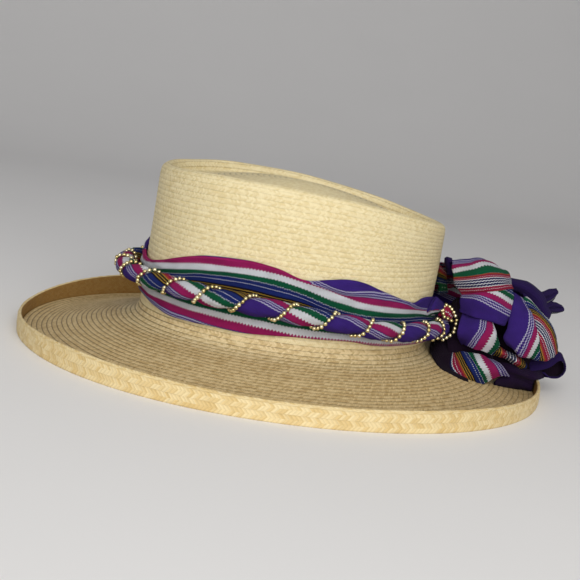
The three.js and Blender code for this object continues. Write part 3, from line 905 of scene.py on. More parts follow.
def build_sash(material):
    angles = round_angles(420)
    lines = sash_lines(angles)
    fine = smooth_path(lines, np.linspace(0, 1, (len(lines) - 1) * 5 + 1))
    height, outset, cloth = fine[..., 0], fine[..., 1], fine[..., 2]
    points = crown_point(angles[None, :], height, outset)
    crease = waviness(points * np.array([0.35, 0.35, 1.6]), 6.0, 5)
    drape = waviness(points, 16.0, 6)
    free = np.clip((outset - 0.8) / 2.5, 0, 1)
    puffed = outset + free * (crease * 1.3 + drape * 0.6)
    points = crown_point(angles[None, :], height + drape * 0.3, puffed)
    turn = np.append(angles, 360.0) * math.pi / 180 * SASH_TURN_RADIUS
    along = corners(np.repeat(turn[None, :], len(fine), 0))
    across = corners(np.concatenate([cloth, cloth[:, :1]], 1))
    piece = lofted("sash_cloth", points, along, across, material, (False, True))
    thickened(piece, SASH_THICKNESS)
    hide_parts("sash")


# Roll and beads

# The cloth line in the middle of each lens of the roll, from the front round each side of the hat
LENS_CLOTH_LEFT = (8, 27, 14, 22.5, 5, 18, 5, 13, 3, 11, 4, 14)
LENS_CLOTH_RIGHT = (24, 10, 3, 15, 28, 12, 6, 19, 2, 14, 8, 22)
LENS_BULGE = 2.3
STRIPE_SLANT = math.radians(17)
PINCHED_RADIUS = 4.2
ROLL_COLUMNS = 760
ROLL_SIDES = 44
ROLL_RIDGE = 0.22
ROLL_RIDGE_PITCH = 3.1
UP = np.array([0.0, 0.0, 1.0])


def string_turn(angle):
    """How far the bead string has turned round the roll, in turns."""
    return (angle - (360 - BEAD_FIRST_CROSSING)) / BEAD_TURN_ANGLE


def lens_middle_cloth(lens):
    left, right = np.array(LENS_CLOTH_LEFT, float), np.array(LENS_CLOTH_RIGHT, float)
    at = lens.astype(int) + 1
    return np.where(at >= 0, left[np.clip(at, 0, 11) % 12], right[(-at) % 12])


def build_roll(material):
    """The twisted roll: lenses of cloth that bulge between the turns of the bead string."""
    angle = np.linspace(ROLL_END_ANGLE, 360 - ROLL_END_ANGLE, ROLL_COLUMNS)
    around = np.linspace(-math.pi, math.pi, ROLL_SIDES, endpoint=False)
    turn = string_turn(angle)
    phase = turn[:, None] - around[None, :] / (2 * math.pi)
    lens = np.floor(phase)
    bulge = np.sin(math.pi * (phase - lens))
    to_end = np.minimum(angle - ROLL_END_ANGLE, 360 - ROLL_END_ANGLE - angle)
    radius = PINCHED_RADIUS + LENS_BULGE * bulge**0.7
    radius *= np.clip(to_end / 2.0, 0.25, 1)[:, None] ** 0.4
    ring = np.cos(around)[None, :, None] * outwards(angle)[:, None, :] + np.sin(around)[None, :, None] * UP
    middle = roll_middle(angle)
    points = middle[:, None, :] + radius[..., None] * ring

    pitch = BEAD_TURN_ANGLE * (distance_along(middle)[-1] / (angle[-1] - angle[0]))
    face_lens = lens[:-1, :]
    base = lens_middle_cloth(face_lens)
    away = [(ends[:, None] - face_lens - 0.5) * pitch for ends in (turn[:-1], turn[1:])]
    closed = np.append(around, math.pi) * ROLL_RADIUS
    girth = [np.broadcast_to(side[None, :], face_lens.shape) for side in (closed[:-1], closed[1:])]
    spin, slide = math.cos(STRIPE_SLANT), math.sin(STRIPE_SLANT)
    order = ((0, 0), (0, 1), (1, 1), (1, 0))
    across = np.stack([base + girth[j] * spin + away[i] * slide for i, j in order], -1)
    along = np.stack([away[i] * spin - girth[j] * slide for i, j in order], -1)
    ridges = np.sin(2 * math.pi * across[..., 0] / ROLL_RIDGE_PITCH)
    ridges = np.concatenate([ridges, ridges[-1:]], 0)
    points += (ridges * ROLL_RIDGE * bulge + waviness(points, 5.0, 8) * 0.45)[..., None] * ring
    piece = lofted("roll_cloth", points, along, across, material, (False, True), capped=True)
    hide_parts("roll")


def ball(rings, segments):
    """Places and faces of a ball with a radius of 1."""
    places = [(0, 0, 1)]
    for i in range(1, rings):
        polar = math.pi * i / rings
        for j in range(segments):
            turn = 2 * math.pi * j / segments
            wide = math.sin(polar)
            places.append((wide * math.cos(turn), wide * math.sin(turn), math.cos(polar)))
    places.append((0, 0, -1))
    last_ring = 1 + (rings - 2) * segments
    faces = []
    for j in range(segments):
        k = (j + 1) % segments
        faces.append((0, 1 + j, 1 + k))
        faces.append((len(places) - 1, last_ring + k, last_ring + j))
        for a in range(1, last_ring, segments):
            b = a + segments
            faces.append((a + j, b + j, b + k, a + k))
    return np.array(places), faces


# Loops of beads round the roll's end, [along, up, out] in the rosette
END_LOOPS = (
    (
        (-37.5, 11, -9),
        (-33.2, 8.6, -5),
        (-31, 4.6, -2),
        (-30.2, 0.4, 0),
        (-31, -4.4, 1.4),
        (-32.8, -8.6, 1.6),
        (-36, -11.8, 1.4),
        (-40, -13.2, 1.4),
        (-43.6, -11.4, 2),
        (-45.2, -7, 3.5),
        (-45, -2.4, 3.5),
        (-43, 1.8, 1),
    ),
    ((-37, 10, -8), (-38.6, 5.4, -3.5), (-38, 1.4, -1), (-34.8, 0.6, 0.4), (-32.4, -3.2, 1.6)),
)
BEAD_RINGS = 7
BEAD_SEGMENTS = 10
BEAD_STRAY = 0.3
BEAD_SIZES = (0.92, 1.06)
BEAD_FLATNESS = (0.78, 0.95)


def bead_line(diameter, spacing):
    """The string's line round the roll and in its end loops, and the distance along it."""
    angle = np.linspace(ROLL_END_ANGLE + 0.4, 360 - ROLL_END_ANGLE - 0.4, 24000)
    turn = string_turn(angle)[:, None] * 2 * math.pi
    radius = PINCHED_RADIUS + diameter / 2 + 0.5
    parts = [roll_middle(angle) + radius * (np.cos(turn) * outwards(angle) + np.sin(turn) * UP)]
    parts += [smooth_path(rosette_point(places), np.linspace(0, 1, 1200)) for places in END_LOOPS]
    lengths, start = [], 0.0
    for part in parts:
        lengths.append(start + distance_along(part))
        start = lengths[-1][-1] + spacing
    return np.concatenate(parts), np.concatenate(lengths)


def build_beads(settings, material):
    diameter, spacing = settings.bead_diameter / MM, settings.bead_spacing / MM
    line, length = bead_line(diameter, spacing)
    chance = np.random.default_rng(SEED)
    shape, shape_faces = ball(BEAD_RINGS, BEAD_SEGMENTS)
    places, faces, marks = [], [], []
    for bead in range(int(length[-1] / spacing)):
        at = (bead + 0.5) * spacing + chance.uniform(-0.12, 0.12)
        centre = np.array([np.interp(at, length, line[:, k]) for k in range(3)])
        centre += chance.uniform(-BEAD_STRAY, BEAD_STRAY, 3)
        size = diameter / 2 * chance.uniform(*BEAD_SIZES)
        turned = Quaternion(chance.normal(size=4).tolist()).normalized().to_matrix()
        squashed = shape * np.array([1.0, 1.0, chance.uniform(*BEAD_FLATNESS)]) * size
        start = len(places) * len(shape)
        places.append(squashed @ np.array(turned) + centre)
        faces += [tuple(start + v for v in face) for face in shape_faces]
        marks += [bead + 0.5] * sum(len(face) for face in shape_faces)
    uv = np.stack([marks, np.full(len(marks), 0.5)], -1)
    piece = woven_piece("seed_beads", np.concatenate(places), faces, uv, material)
    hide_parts("bead_string_left", "bead_string_right")


# Rosette


def facing(azimuth, elevation):
    """The direction from the hat to a viewer, who stands on the wearer's left at azimuth 0."""
    level = math.cos(elevation)
    return Vector((math.sin(azimuth) * level, -math.cos(azimuth) * level, math.sin(elevation)))


def rosette_axes():
    """The rosette's directions along, up and out of its face."""
    angles = (ROSETTE_AZIMUTH, ROSETTE_ELEVATION, ROSETTE_ROLL)
    azimuth, elevation, roll = (math.radians(angle) for angle in angles)
    out = facing(azimuth, elevation)
    side = Vector((math.cos(azimuth), math.sin(azimuth), 0))
    turned = Quaternion(out, roll)
    return np.array([turned @ side, turned @ out.cross(side), out])


ROSETTE_AXES = rosette_axes()


def rosette_point(places):
    """Places given [along, up, out] from the hollow in the rosette's face, on the hat."""
    return np.array(ROSETTE_HEART) + np.asarray(places, float) @ ROSETTE_AXES


def crown_outset(points):
    """How far out from the crown's wall each place is."""
    share = points[..., 2] / 100
    x, y = points[..., 0] - CROWN_LEAN * share, points[..., 1]
    length, width = CROWN_LENGTH / 2 - CROWN_TAPER * share, CROWN_WIDTH / 2
    outset = np.zeros(x.shape)
    for _ in range(8):
        reach = np.hypot(x / (length + outset), y / (width + outset))
        outset += np.hypot(x, y) * (1 - 1 / reach)
    return outset


def laid_clear(points):
    """Moves places on a fold clear of the crown, the sash, the rim and the brim."""
    angle = np.degrees(np.arctan2(points[..., 1] / CROWN_WIDTH, points[..., 0] / CROWN_LENGTH))
    outset = crown_outset(points)
    nearest = FOLD_ROOM + np.where(points[..., 2] < SASH_REACH, SASH_PUFF, 0)
    furthest = BRIM_WIDTH - RIM_THICKNESS - FOLD_ROOM
    over_rim = points[..., 2] > lip_height(angle) + FOLD_ROOM
    kept = np.maximum(nearest, np.where(over_rim, outset, np.minimum(outset, furthest)))
    placed = points.copy()
    placed[..., 0] += (kept - outset) * np.cos(np.radians(angle))
    placed[..., 1] += (kept - outset) * np.sin(np.radians(angle))
    brim_height = np.interp(kept, *np.array(BRIM_TOP + (BRIM_EDGE,)).T)
    placed[..., 2] = np.maximum(placed[..., 2], brim_height + FOLD_ROOM)
    return placed


# A petal's folds: (cloth at the fold, places along it). A crease has the cloth on its far side too.
PETALS = {
    "upper": {
        "carried": 26.0,
        "flat": (0.078, 0.046),
        "folds": (
            (0, ((-27.5, 6, -1), (-18, 2.7, 8), (-7, -0.4, 10), (1, -3.2, 6), (2, -2.5, -3))),
            (8, ((-27.5, 15.3, 2), (-18.5, 14, 12), (-7, 8.2, 13), (4, 2.7, 7), (6, 3, -3))),
            (12.2, ((-27, 17.5, 2.2), (-15.8, 17.2, 12.2), (-4.5, 12.6, 13), (6.8, 6.6, 5),
                 (8.3, 7.5, -4))),
            ((12.8, 15, 21, 30, 30), ((-27, 18, 1.6), (-15.8, 18.9, 10.5), (-3.8, 20.3, 11.5),
                 (8, 21.8, 2), (9.4, 20, -6)), 36),
            (43, ((-32, 24.9, 3), (-20, 25.6, 13), (-7.3, 26.7, 15), (6, 27, 4), (8.6, 27, -6))),
            (51, ((-32.7, 29.1, 3), (-21.4, 30.6, 14), (-8.7, 32.5, 14), (4.3, 31.4, 2),
                 (7, 32, -8)), 62.2),
            (65.5, ((-32.8, 32.4, 2), (-21.4, 34.8, 10), (-8.7, 37.2, 9), (3, 34.1, -2), (5, 34.5, -12))),
            (70.5, ((-33, 35.5, -1), (-21.4, 38, 4), (-10.1, 40, 2), (1.2, 36.5, -8), (3, 36, -18))),
            (80, ((-32, 40.6, -7), (-21.4, 41.2, -4), (-11.5, 42, -6), (-1.7, 38.7, -14), (0.5, 37, -24))),
        ),
    },
    "back": {
        "carried": 24.0,
        "flat": (0.085, 0.046),
        "folds": (
            (0, ((10.6, 18.6, -5), (7.8, 7.3, 5), (4.2, -5.4, 9), (1.8, -11.7, 8), (4.5, -15.5, 2))),
            (8, ((14.2, 15.8, -1), (17.3, 5.2, 10), (15.2, -6.8, 14.5), (9.2, -18.7, 10), (10, -20.5, 2))),
            (12.2, ((15.2, 14.7, -1), (20.3, 1, 11.5), (18.7, -9.6, 14.8), (14, -23.5, 9),
                 (14.5, -24.5, 1))),
            ((12.8, 15, 20, 29, 31), ((15.9, 14, -2), (21.2, -1.1, 10), (24.4, -12.4, 12.5),
                 (25.8, -26, 6), (25, -27, -2)), (62, 44, 37, 32, 31)),
            ((66, 53, 46, 40, 38), ((18, 15.8, -4), (24.4, 4.5, 7.5), (29.3, -6.8, 11.5),
                 (33.5, -25.5, 3), (32, -26.5, -5))),
            ((70, 62, 56, 50, 47), ((20.2, 15.8, -7), (27.2, 5.9, 3), (34.2, -5.4, 6),
                 (39.4, -22.5, -3), (37.5, -24.5, -10))),
            ((78, 77, 74, 70, 66), ((22.3, 14.7, -12), (28.6, 4.9, -5), (36.3, -4, -4),
                 (41.6, -18, -11), (40.5, -22, -17))),
        ),
    },
    "front": {
        "flat": (0.057, 0.024),
        "folds": (
            (-1, ((-24.5, 5, -3), (-27.8, -3.3, 4), (-28.8, -10.3, 3.5), (-26, -16.6, -3))),
            (8, ((-14.7, 2, 6), (-16.8, -5.4, 12), (-20.7, -11.7, 11), (-23.3, -17.6, 5))),
            (12.2, ((-10.1, 0.6, 7), (-12.2, -6.1, 13), (-15.8, -12.4, 12), (-19.4, -19.6, 5.5))),
            (16.5, ((-6.8, 0, 5), (-7.3, -6.8, 12), (-10.1, -13.1, 11), (-14, -20.8, 5))),
            (20.5, ((-5.4, -1.6, 1), (-4.1, -9.2, 8), (-5.2, -15.2, 8), (-9.1, -22.8, 3))),
            (26, ((-4.8, -4, -5), (-2.7, -11.7, 1), (-1.3, -18, 1), (-5.9, -24.2, -1.5))),
            (36, ((-5.5, -5, -12), (-4, -12, -9), (-3, -18, -9), (-7, -24, -9))),
            (46, ((-9, -5, -20), (-8, -12, -20), (-8, -17, -19), (-11, -22, -17))),
        ),
    },
    "lower": {
        "flat": (0.04, 0.02),
        "folds": (
            (41.5, ((-32, -22.6, -6), (-35, -30.7, 2), (-32, -37, 7), (-25.4, -42.4, 7.4))),
            (39.5, ((-31.4, -22.8, -4), (-33, -30.7, 4), (-29.5, -37.2, 8), (-24, -42.8, 7.6))),
            (35.5, ((-30.6, -23, -3), (-28, -31.2, 6.5), (-25, -38, 9.5), (-21.6, -43.4, 7.6))),
            (30.5, ((-27, -21.8, 0), (-24.2, -29.3, 8.5), (-20, -37, 10.5), (-16.5, -43.9, 6.8))),
            (25.5, ((-23.5, -22, 2), (-19.3, -29.8, 10), (-15.8, -37, 11), (-12, -43.6, 6))),
            (20.5, ((-18.9, -22.6, 3), (-17.2, -29, 10.5), (-12.5, -36.2, 10.5), (-8.8, -42.3, 4.6))),
            (16.5, ((-14.5, -23.2, 3.5), (-12.4, -29.6, 9.8), (-8.6, -35.6, 8.8), (-5.8, -41, 3))),
            (12.2, ((-9.4, -25.4, 2), (-5.9, -29.3, 6), (-2.4, -34.2, 4.5), (0.2, -38.6, 0))),
            (8, ((-4.5, -27.9, -2), (0.4, -31.4, 0.5), (4.7, -35.6, -1.5), (8, -39.4, -6))),
        ),
    },
    "skirt": {
        # The skirt's cloth carries painted deep shade
        "tone": "wear_and_shade",
        "flat": (0.024, 0.032),
        "folds": (
            (0, ((-3, -44.6, -5), (9, -48, -15), (18, -51, -21), (26, -55, -26), (34, -54, -30))),
            (3, ((-2, -41.6, -5), (10.5, -44.5, -10), (20, -48, -14), (28, -51.5, -18), (36, -49, -25))),
            (5, ((4.5, -38.5, -8.5), (12.5, -40.5, -9), (21, -44, -13), (29, -46.5, -17), (36, -45, -24))),
            (6, ((3, -34, -9), (12, -36, -5), (21, -39.5, -9), (29, -41.5, -13), (35, -41, -22))),
            (8, ((1.5, -29.6, -9), (10.5, -31, -7.5), (20, -34, -10), (28, -36, -15), (33.5, -36, -22))),
        ),
    },
}
# Smaller folds beside the petals, given in the same way; a dim or dark tone paints shade into the cloth
SMALL_FOLDS = {
    "rosette_under": {
        "flat": (0.022, 0.05),
        "tone": "dark",
        "folds": (
            (2, ((-43.5, -18, -30), (-46.4, -22.6, -12), (-45, -28, 1), (-42.3, -32.8, 11),
                 (-36.6, -36.3, 13.5), (-30.4, -40.2, 15.5), (-24.4, -42.6, 15))),
            (5, ((-40, -13, -26), (-41, -18, -12), (-39.5, -24, -3), (-38, -29.5, 2.5),
                 (-34.2, -34.5, 5), (-29.5, -39, 6), (-23.5, -42.3, 6))),
            (7, ((-31, -10, -20), (-31.5, -14, -14), (-30, -20, -10), (-29, -24, -6), (-27, -29, -3),
                 (-24, -34, -2), (-20, -38, -2))),
        ),
        "replaces": ("petal_lower_left", "rosette_knot"),
    },
    "rosette_inner_fold": {
        "flat": (0.034, 0.02),
        "tone": "dark",
        "folds": (
            (2, ((-35.5, -8, -10), (-35, -15, -6), (-34, -21.5, -5), (-31, -28, -4))),
            (4, ((-20, -10, -8), (-19, -17, -4), (-17, -24, -3), (-15, -30, -3))),
            (7, ((-8, -14, -10), (-6, -20, -8), (-4, -26, -7), (-3, -31, -7))),
        ),
        "replaces": ("rosette_heart",),
    },
    "rosette_hollow": {
        "flat": (0.022, 0.033),
        "tone": "dark",
        "folds": (
            (2, ((-4, -8, -16), (8, -13, -16), (18, -20, -17), (27, -26, -20))),
            (5, ((-3, -20, -14), (8, -24, -13), (18, -29, -14), (27, -34, -18))),
            (8, ((-2, -31, -12), (9, -34, -11), (18, -37, -13), (27, -40, -18))),
        ),
        "replaces": ("rosette_heart",),
    },
    "rosette_cross_fold": {
        "flat": (0.032, 0.013),
        "folds": (
            (30, ((-4.5, -15, -8), (-3.4, -20.5, 0), (-4.5, -25, -8))),
            (33, ((-1.5, -18, -4), (-1.2, -21.6, 2.5), (-1.8, -24.6, -4))),
            (37.5, ((3, -20, -3), (2.6, -23.4, 3.2), (2.2, -26.2, -3))),
            (42, ((7.2, -22.2, -3), (6.8, -25.5, 3), (6.2, -28.2, -3))),
            (46.5, ((11.4, -24.4, -4), (10.8, -27.8, 2), (9.9, -30.4, -4))),
            (51, ((15.4, -26.8, -6), (14.6, -30.2, -1), (13.6, -32.8, -6))),
            (57, ((21.6, -31.2, -12), (19.9, -33.8, -7), (17.6, -35.8, -12))),
        ),
        "replaces": ("rosette_heart",),
    },
    "rosette_crown_fold": {
        "tone": "dim",
        "flat": (0.024, 0.0135),
        "folds": (
            (39, ((-42.5, 39.5, -27), (-38.8, 37.5, -22), (-34.5, 33, -22))),
            (36.2, ((-42.7, 35.5, -26), (-39, 34, -18), (-34.2, 30.5, -20))),
            (31, ((-43.2, 31.5, -26), (-39.2, 30, -20), (-34, 27.8, -21))),
            (26, ((-43.8, 28, -26), (-39.6, 26.8, -17.5), (-33.8, 25.5, -19))),
            (21, ((-44.4, 23.5, -26), (-39.8, 22.6, -18), (-33.4, 22, -19))),
            (28, ((-44.8, 19.5, -26), (-40, 18.4, -20), (-33, 18.6, -20))),
        ),
        "replaces": ("tail_crown",),
    },
    "rosette_back_flap": {
        "flat": (0.0145, 0.044),
        "tone": "dim",
        "folds": (
            (6.5, ((10.3, 29.2, -22), (18.7, 27.5, -24), (26.1, 24.7, -24), (33.7, 20, -26),
                 (37.8, 15.6, -28), (39.2, 9.7, -28), (41.2, 4, -26), (38.3, -1.9, -24))),
            (4.5, ((10.1, 26.1, -18), (16.9, 24.1, -19), (23.2, 21.5, -19), (29.4, 16.9, -20),
                 (33.4, 12.3, -22), (35, 7.6, -22), (36.6, 3, -20), (35.5, -1.4, -20))),
            (2, ((11.4, 21, -20), (16.5, 19.5, -22), (21.1, 16.4, -22), (25.2, 12.3, -22),
                 (28.5, 8.7, -23), (30.6, 5.1, -22), (32.7, 1.3, -21), (33.9, -2.1, -22))),
        ),
        "replaces": ("tail_top", "tail_middle"),
    },
    "tail_top_cloth": {
        "flat": (0.018, 0.032),
        "tone": "dim",
        "folds": (
            (1, ((19.3, 24.1, -26), (28, 21.5, -28), (35.5, 19.1, -31), (42.8, 21, -34),
                 (47.9, 21.7, -36.5))),
            (3, ((19.1, 21, -20), (27.3, 19, -22), (34.8, 17.1, -26), (42.1, 18.5, -30.5),
                 (48.2, 20.6, -35))),
            (5, ((20.3, 18.9, -23), (27.9, 16.9, -25), (35.9, 14.6, -29), (42.9, 16.4, -33),
                 (48.8, 20, -36))),
            (7.5, ((20.2, 16.9, -20), (27.8, 15.4, -22), (35.9, 12.7, -26), (42.8, 14.4, -31),
                 (48.4, 18.5, -35.5))),
            (10, ((22.4, 12.7, -26), (30.1, 11.7, -28), (37.7, 10.1, -32), (44, 12.2, -35),
                 (47.8, 16.8, -37))),
        ),
        "replaces": ("tail_top",),
    },
    "tail_middle_cloth": {
        "flat": (0.018, 0.029),
        "tone": "dim",
        "folds": (
            (1, ((26, 11.7, -28), (34.6, 9.8, -30), (41.8, 12, -33), (47.5, 11.5, -35), (51.7, 9.9, -36))),
            (3, ((25.7, 8.7, -22), (33.9, 7.6, -24), (41.3, 9.8, -28), (47.4, 9.6, -32), (52.5, 8.5, -35))),
            (4.5, ((26.9, 6.6, -25), (34.7, 5.5, -27), (42.2, 7.7, -31), (48.2, 7.6, -34.5),
                 (53.2, 7.2, -36))),
            (6.5, ((26.7, 4.6, -22), (34.4, 3.5, -24), (41.5, 6.1, -28), (47.6, 6.2, -32),
                 (52.7, 6.2, -35))),
            (9, ((29.1, -0.7, -28), (36.8, -1.3, -30), (43.1, 3.3, -34), (48.6, 4.1, -36),
                 (52.4, 4.9, -37))),
        ),
        "replaces": ("tail_middle",),
    },
    "tail_low_cloth": {
        "flat": (0.074, 0.017),
        "tone": "dim",
        "folds": (
            (7.5, ((24, -36, -12), (25.4, -29.3, -18), (29.1, -27.7, -28))),
            (6.5, ((32, -35.4, -14), (33.6, -28, -19), (35.7, -26.3, -30))),
            (5.5, ((39.4, -33.6, -18), (41.2, -26.8, -22), (42.9, -25.3, -32))),
            (4.5, ((46.4, -29.6, -21.5), (48, -24.8, -25), (49.2, -24.3, -34))),
            (3.5, ((50.9, -31.6, -24), (52.5, -31.3, -29), (52.8, -31.3, -36))),
            (2.5, ((50.7, -37.8, -24), (52.1, -37.7, -29), (52.4, -37.2, -36))),
            (1.5, ((46.8, -41.9, -24), (48, -41.9, -29), (48.6, -40.7, -36))),
            (0.5, ((40.1, -41.7, -22), (42, -41.8, -28), (44.2, -40.7, -35))),
            (-0.5, ((34, -37.5, -20), (37.1, -38, -27), (39.8, -37.4, -34))),
        ),
        "replaces": ("tail_low",),
    },
    "tail_low_inside": {
        "tone": "dark",
        "flat": (0.026, 0.0125),
        "folds": (
            (-2, ((26, -28.5, -22), (27.5, -34, -23), (29.5, -41, -25))),
            (1, ((33, -29, -25), (35, -34.5, -26), (37.5, -41, -27))),
            (4, ((45, -27.8, -29), (45.7, -34.1, -31), (46.2, -40.8, -30))),
            (7, ((50.3, -28.8, -30), (51.6, -33.6, -31), (50.9, -38.3, -31))),
        ),
        "replaces": ("tail_low",),
    },
    "tail_crown_cloth": {
        "flat": (0.0105, 0.0108),
        "tone": "dim",
        "folds": (
            (1, ((-32.5, 31.8, -22), (-33.8, 37.4, -20), (-34.7, 41.1, -19.5), (-34.9, 43.4, -19.5))),
            (4, ((-32, 31.2, -18), (-32.9, 37.3, -15), (-33.4, 41.8, -15.5), (-33.9, 44.1, -17.5))),
            (6.5, ((-29.8, 30.2, -19), (-30.1, 36.3, -15.5), (-30.4, 40.8, -15.5), (-30.7, 43.3, -17))),
        ),
        "replaces": ("tail_crown",),
    },
    "sash_end_fold": {
        "flat": (0.016, 0.021),
        "folds": (
            (0, ((-58, 12.2, 9), (-54, 14.4, 8), (-50, 15.6, 5.5), (-45.6, 15.7, 2.5),
                 (-41, 13.2, -3), (-37.2, 9.6, -9))),
            (4, ((-58, 10, 10.8), (-54, 11.4, 10.6), (-50, 12, 9), (-45.6, 11.8, 6),
                 (-41, 10.6, -0.5), (-36.8, 9, -8.5))),
            (8, ((-58, 7.3, 11), (-54, 7.3, 10.8), (-50, 7.2, 9), (-45.6, 7, 6), (-41, 7.4, -0.5),
                 (-36.6, 8.5, -8.5))),
            (16.5, ((-58, 6.8, 10.6), (-54, 6.7, 10), (-50, 6.5, 8.3), (-45.6, 6.4, 5.2),
                 (-41, 6.9, -1.3), (-36.8, 8.3, -9))),
            (20.5, ((-58, 5.6, 9.8), (-54, 5.4, 9), (-50, 5.2, 7.2), (-45.6, 5.2, 4), (-41, 6, -3),
                 (-37, 8, -10))),
            (24, ((-58, 4.6, 6.5), (-54, 4.3, 5.5), (-50, 4, 3.5), (-45.6, 4, 0), (-41, 5, -7),
                 (-37, 7.4, -12))),
        ),
        "replaces": ("sash",),
    },
    "roll_end_fold": {
        "flat": (0.01, 0.0113),
        "folds": (
            (35.6, ((-40.5, 8.6, -9), (-36.5, 9.2, -6.5), (-33, 7.6, -6.5), (-31, 4, -8))),
            (38, ((-41, 5.8, -7.5), (-37.5, 6, -4.5), (-34.2, 4.2, -4.5), (-32.4, 1.4, -6))),
            (39.5, ((-41, 2.6, -8), (-38.5, 2.6, -6), (-36, 1.2, -5.5), (-34.4, -1, -7))),
        ),
        "replaces": ("roll",),
    },
}
# Bunched cloth inside the rosette, its tone painted shade: (name, middle [along, up, out], half sizes, tone,
# node, crumple, seed)
LUMPS = (
    ("rosette_core", (4, 1, -38), (25, 23, 19), "dark", "rosette_heart", 0.22, 21),
    ("rosette_tuft", (11, 15, -38), (14, 10, 15), "dim", "rosette_heart", 0.3, 27),
    ("rosette_gather", (-26.5, -1, -14), (7, 17, 12), "dark", "rosette_knot", 0.2, 31),
)
# Cloth away from the light, its shade painted into the colour: (name, painted shade, tint)
TONES = {
    "dim": ("dim_shaded_cloth", 0.56, (0.78, 0.85, 0.6)),
    "wear_and_shade": ("deep_shaded_cloth", 0.36, (0.95, 0.85, 0.4)),
    "dark": ("shaded_cloth", 0.24, (0.9, 0.9, 0.26)),
}
FOLD_COLUMNS = 44
FOLD_STEPS = 9
FOLD_THICKNESS = 0.8
# The cut edge turns under: how far inwards and back, and how much cloth it takes
HEM_WIDTH = 1.6
HEM_DEPTH = 2.6
HEM_CLOTH = 2.5
# Cloth carried on from the last fold sinks halfway to the rosette's middle and beside it
HALFWAY_SINK = 2.5
MIDDLE_SINK = 4.5
MIDDLE_GAP = 0.3
# Noise that shapes the cloth: (size, seed, height), in millimetres but for the seed
FOLD_CREASES = (2.6, 9, 0.95)
FOLD_DENTS = ((9.0, 11, 0.6), (3.4, 17, 0.22))
# Bunched cloth is a ball of this many rings and columns, open by a small angle at its ends
LUMP_RINGS = 46
LUMP_COLUMNS = 72
LUMP_OPENING = 0.04
LUMP_DEPTH = 1.3


def fold_values(cloth, count):
    """The cloth at each place along a fold, whether it is given once or for each place."""
    return np.full(count, float(cloth)) if np.isscalar(cloth) else np.array(cloth, float)


def fold_grid(petal, far):
    """A petal's places and cloth values: rows along its folds, columns across the cloth."""
    shares = np.linspace(0, 1, FOLD_COLUMNS)
    folds = petal["folds"]

    def line_of(fold, cloth):
        values = fold_values(cloth, len(fold[1]))
        return smooth_path(rosette_point(fold[1]), shares), smooth_path(values, shares)

    first, hem_cloth = line_of(folds[0], folds[0][0])
    inwards = line_of(folds[1], folds[1][0])[0] - first
    inwards /= np.linalg.norm(inwards, axis=-1, keepdims=True)
    hem = first + inwards * HEM_WIDTH - ROSETTE_AXES[2] * HEM_DEPTH
    runs, run = [], [(hem, hem_cloth - HEM_CLOTH)]
    for fold in folds:
        run.append(line_of(fold, fold[0]))
        if len(fold) > 2:
            runs.append(run)
            run = [line_of(fold, fold[2])]
    if "carried" in petal:
        places, cloth = run[-1]
        half, end = places.copy(), places.copy()
        half[:, 1] = (places[:, 1] + ROSETTE_MIDDLE) / 2
        half[:, 2] -= HALFWAY_SINK
        end[:, 1] = ROSETTE_MIDDLE - MIDDLE_GAP
        end[:, 2] -= MIDDLE_SINK
        run += [(half, cloth + petal["carried"] / 2), (end, cloth + petal["carried"])]
    runs.append(run)
    points, cloths = [], []
    for run in runs:
        steps = np.linspace(0, 1, (len(run) - 1) * FOLD_STEPS + 1)
        points.append(smooth_path(np.array([p for p, _ in run]), steps))
        cloths.append(smooth_path(np.array([c for _, c in run]), steps))
    points, cloths = np.concatenate(points), np.concatenate(cloths)
    if far:
        depth = ROSETTE_MIDDLE - points[..., 1]
        points[..., 1] = ROSETTE_MIDDLE + depth
        points[..., 2] += (RIM_BOTTOM - points[..., 2]) * depth * ROSETTE_FALL
    return points, cloths


def build_fold(name, petal, far, material, replaced):
    """A petal or a smaller fold, with long creases along it and soft dents."""
    points, cloth = fold_grid(petal, far)
    normal = normals_of(points, False)
    along_folds = np.stack([cloth * 0.5, np.zeros(cloth.shape), points[..., 0] * 0.12], -1)
    size, seed, height = FOLD_CREASES
    creases = waviness(along_folds, size, seed + far) * height
    dents = sum(waviness(points, size, seed + far) * height for size, seed, height in FOLD_DENTS)
    points = laid_clear(points + normal * (creases + dents)[..., None])
    step = np.linalg.norm(np.diff(points, axis=1), axis=-1).mean(0)
    length = np.append(0, np.cumsum(step))
    along = corners(np.repeat(length[None, :], len(points), 0))
    piece = lofted(name, points, along, corners(cloth), material)
    thickened(piece, FOLD_THICKNESS)
    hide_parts(*replaced)


def build_lump(name, centre, size, material, replaced, crumple, seed):
    """A crumpled bunch of cloth: a ball pushed in and out along its folds."""
    polar = np.linspace(LUMP_OPENING, math.pi - LUMP_OPENING, LUMP_RINGS)[:, None]
    turn = np.linspace(0, 2 * math.pi, LUMP_COLUMNS, endpoint=False)[None, :]
    shape = stacked(np.sin(polar) * np.cos(turn), np.cos(polar), np.sin(polar) * np.sin(turn))
    fold = waviness(shape * np.array([3.0, 1.2, 3.0]), 1.0, seed) + 0.5 * waviness(shape * 5.0, 1.0, seed + 1)
    radius = 1 - crumple * np.abs(fold) * LUMP_DEPTH
    points = rosette_point(np.array(centre) + shape * np.array(size) * radius[..., None])
    around = np.append(turn[0], 2 * math.pi) * max(size)
    along = corners(np.repeat(polar * size[1], LUMP_COLUMNS + 1, 1))
    across = corners(np.repeat(around[None, :], LUMP_RINGS, 0)) * 0.05
    piece = lofted(name, points, along, across, material, (False, True), capped=True)
    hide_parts(replaced)


# Stage

# (name, place in metres, power in watts, size in metres, colour)
LIGHTS = (
    ("key light", (-0.02, -1.7, 0.85), 33, 1.7, (1.0, 0.985, 0.96)),
    ("fill light", (-1.2, -1.2, 0.9), 5, 1.4, (0.96, 0.98, 1.0)),
    ("top light", (0.3, -0.2, 1.6), 1.5, 1.2, (1.0, 1.0, 1.0)),
)
STUDIO_COLOUR = (0.62, 0.62, 0.64, 1.0)
STUDIO_STRENGTH = 0.36
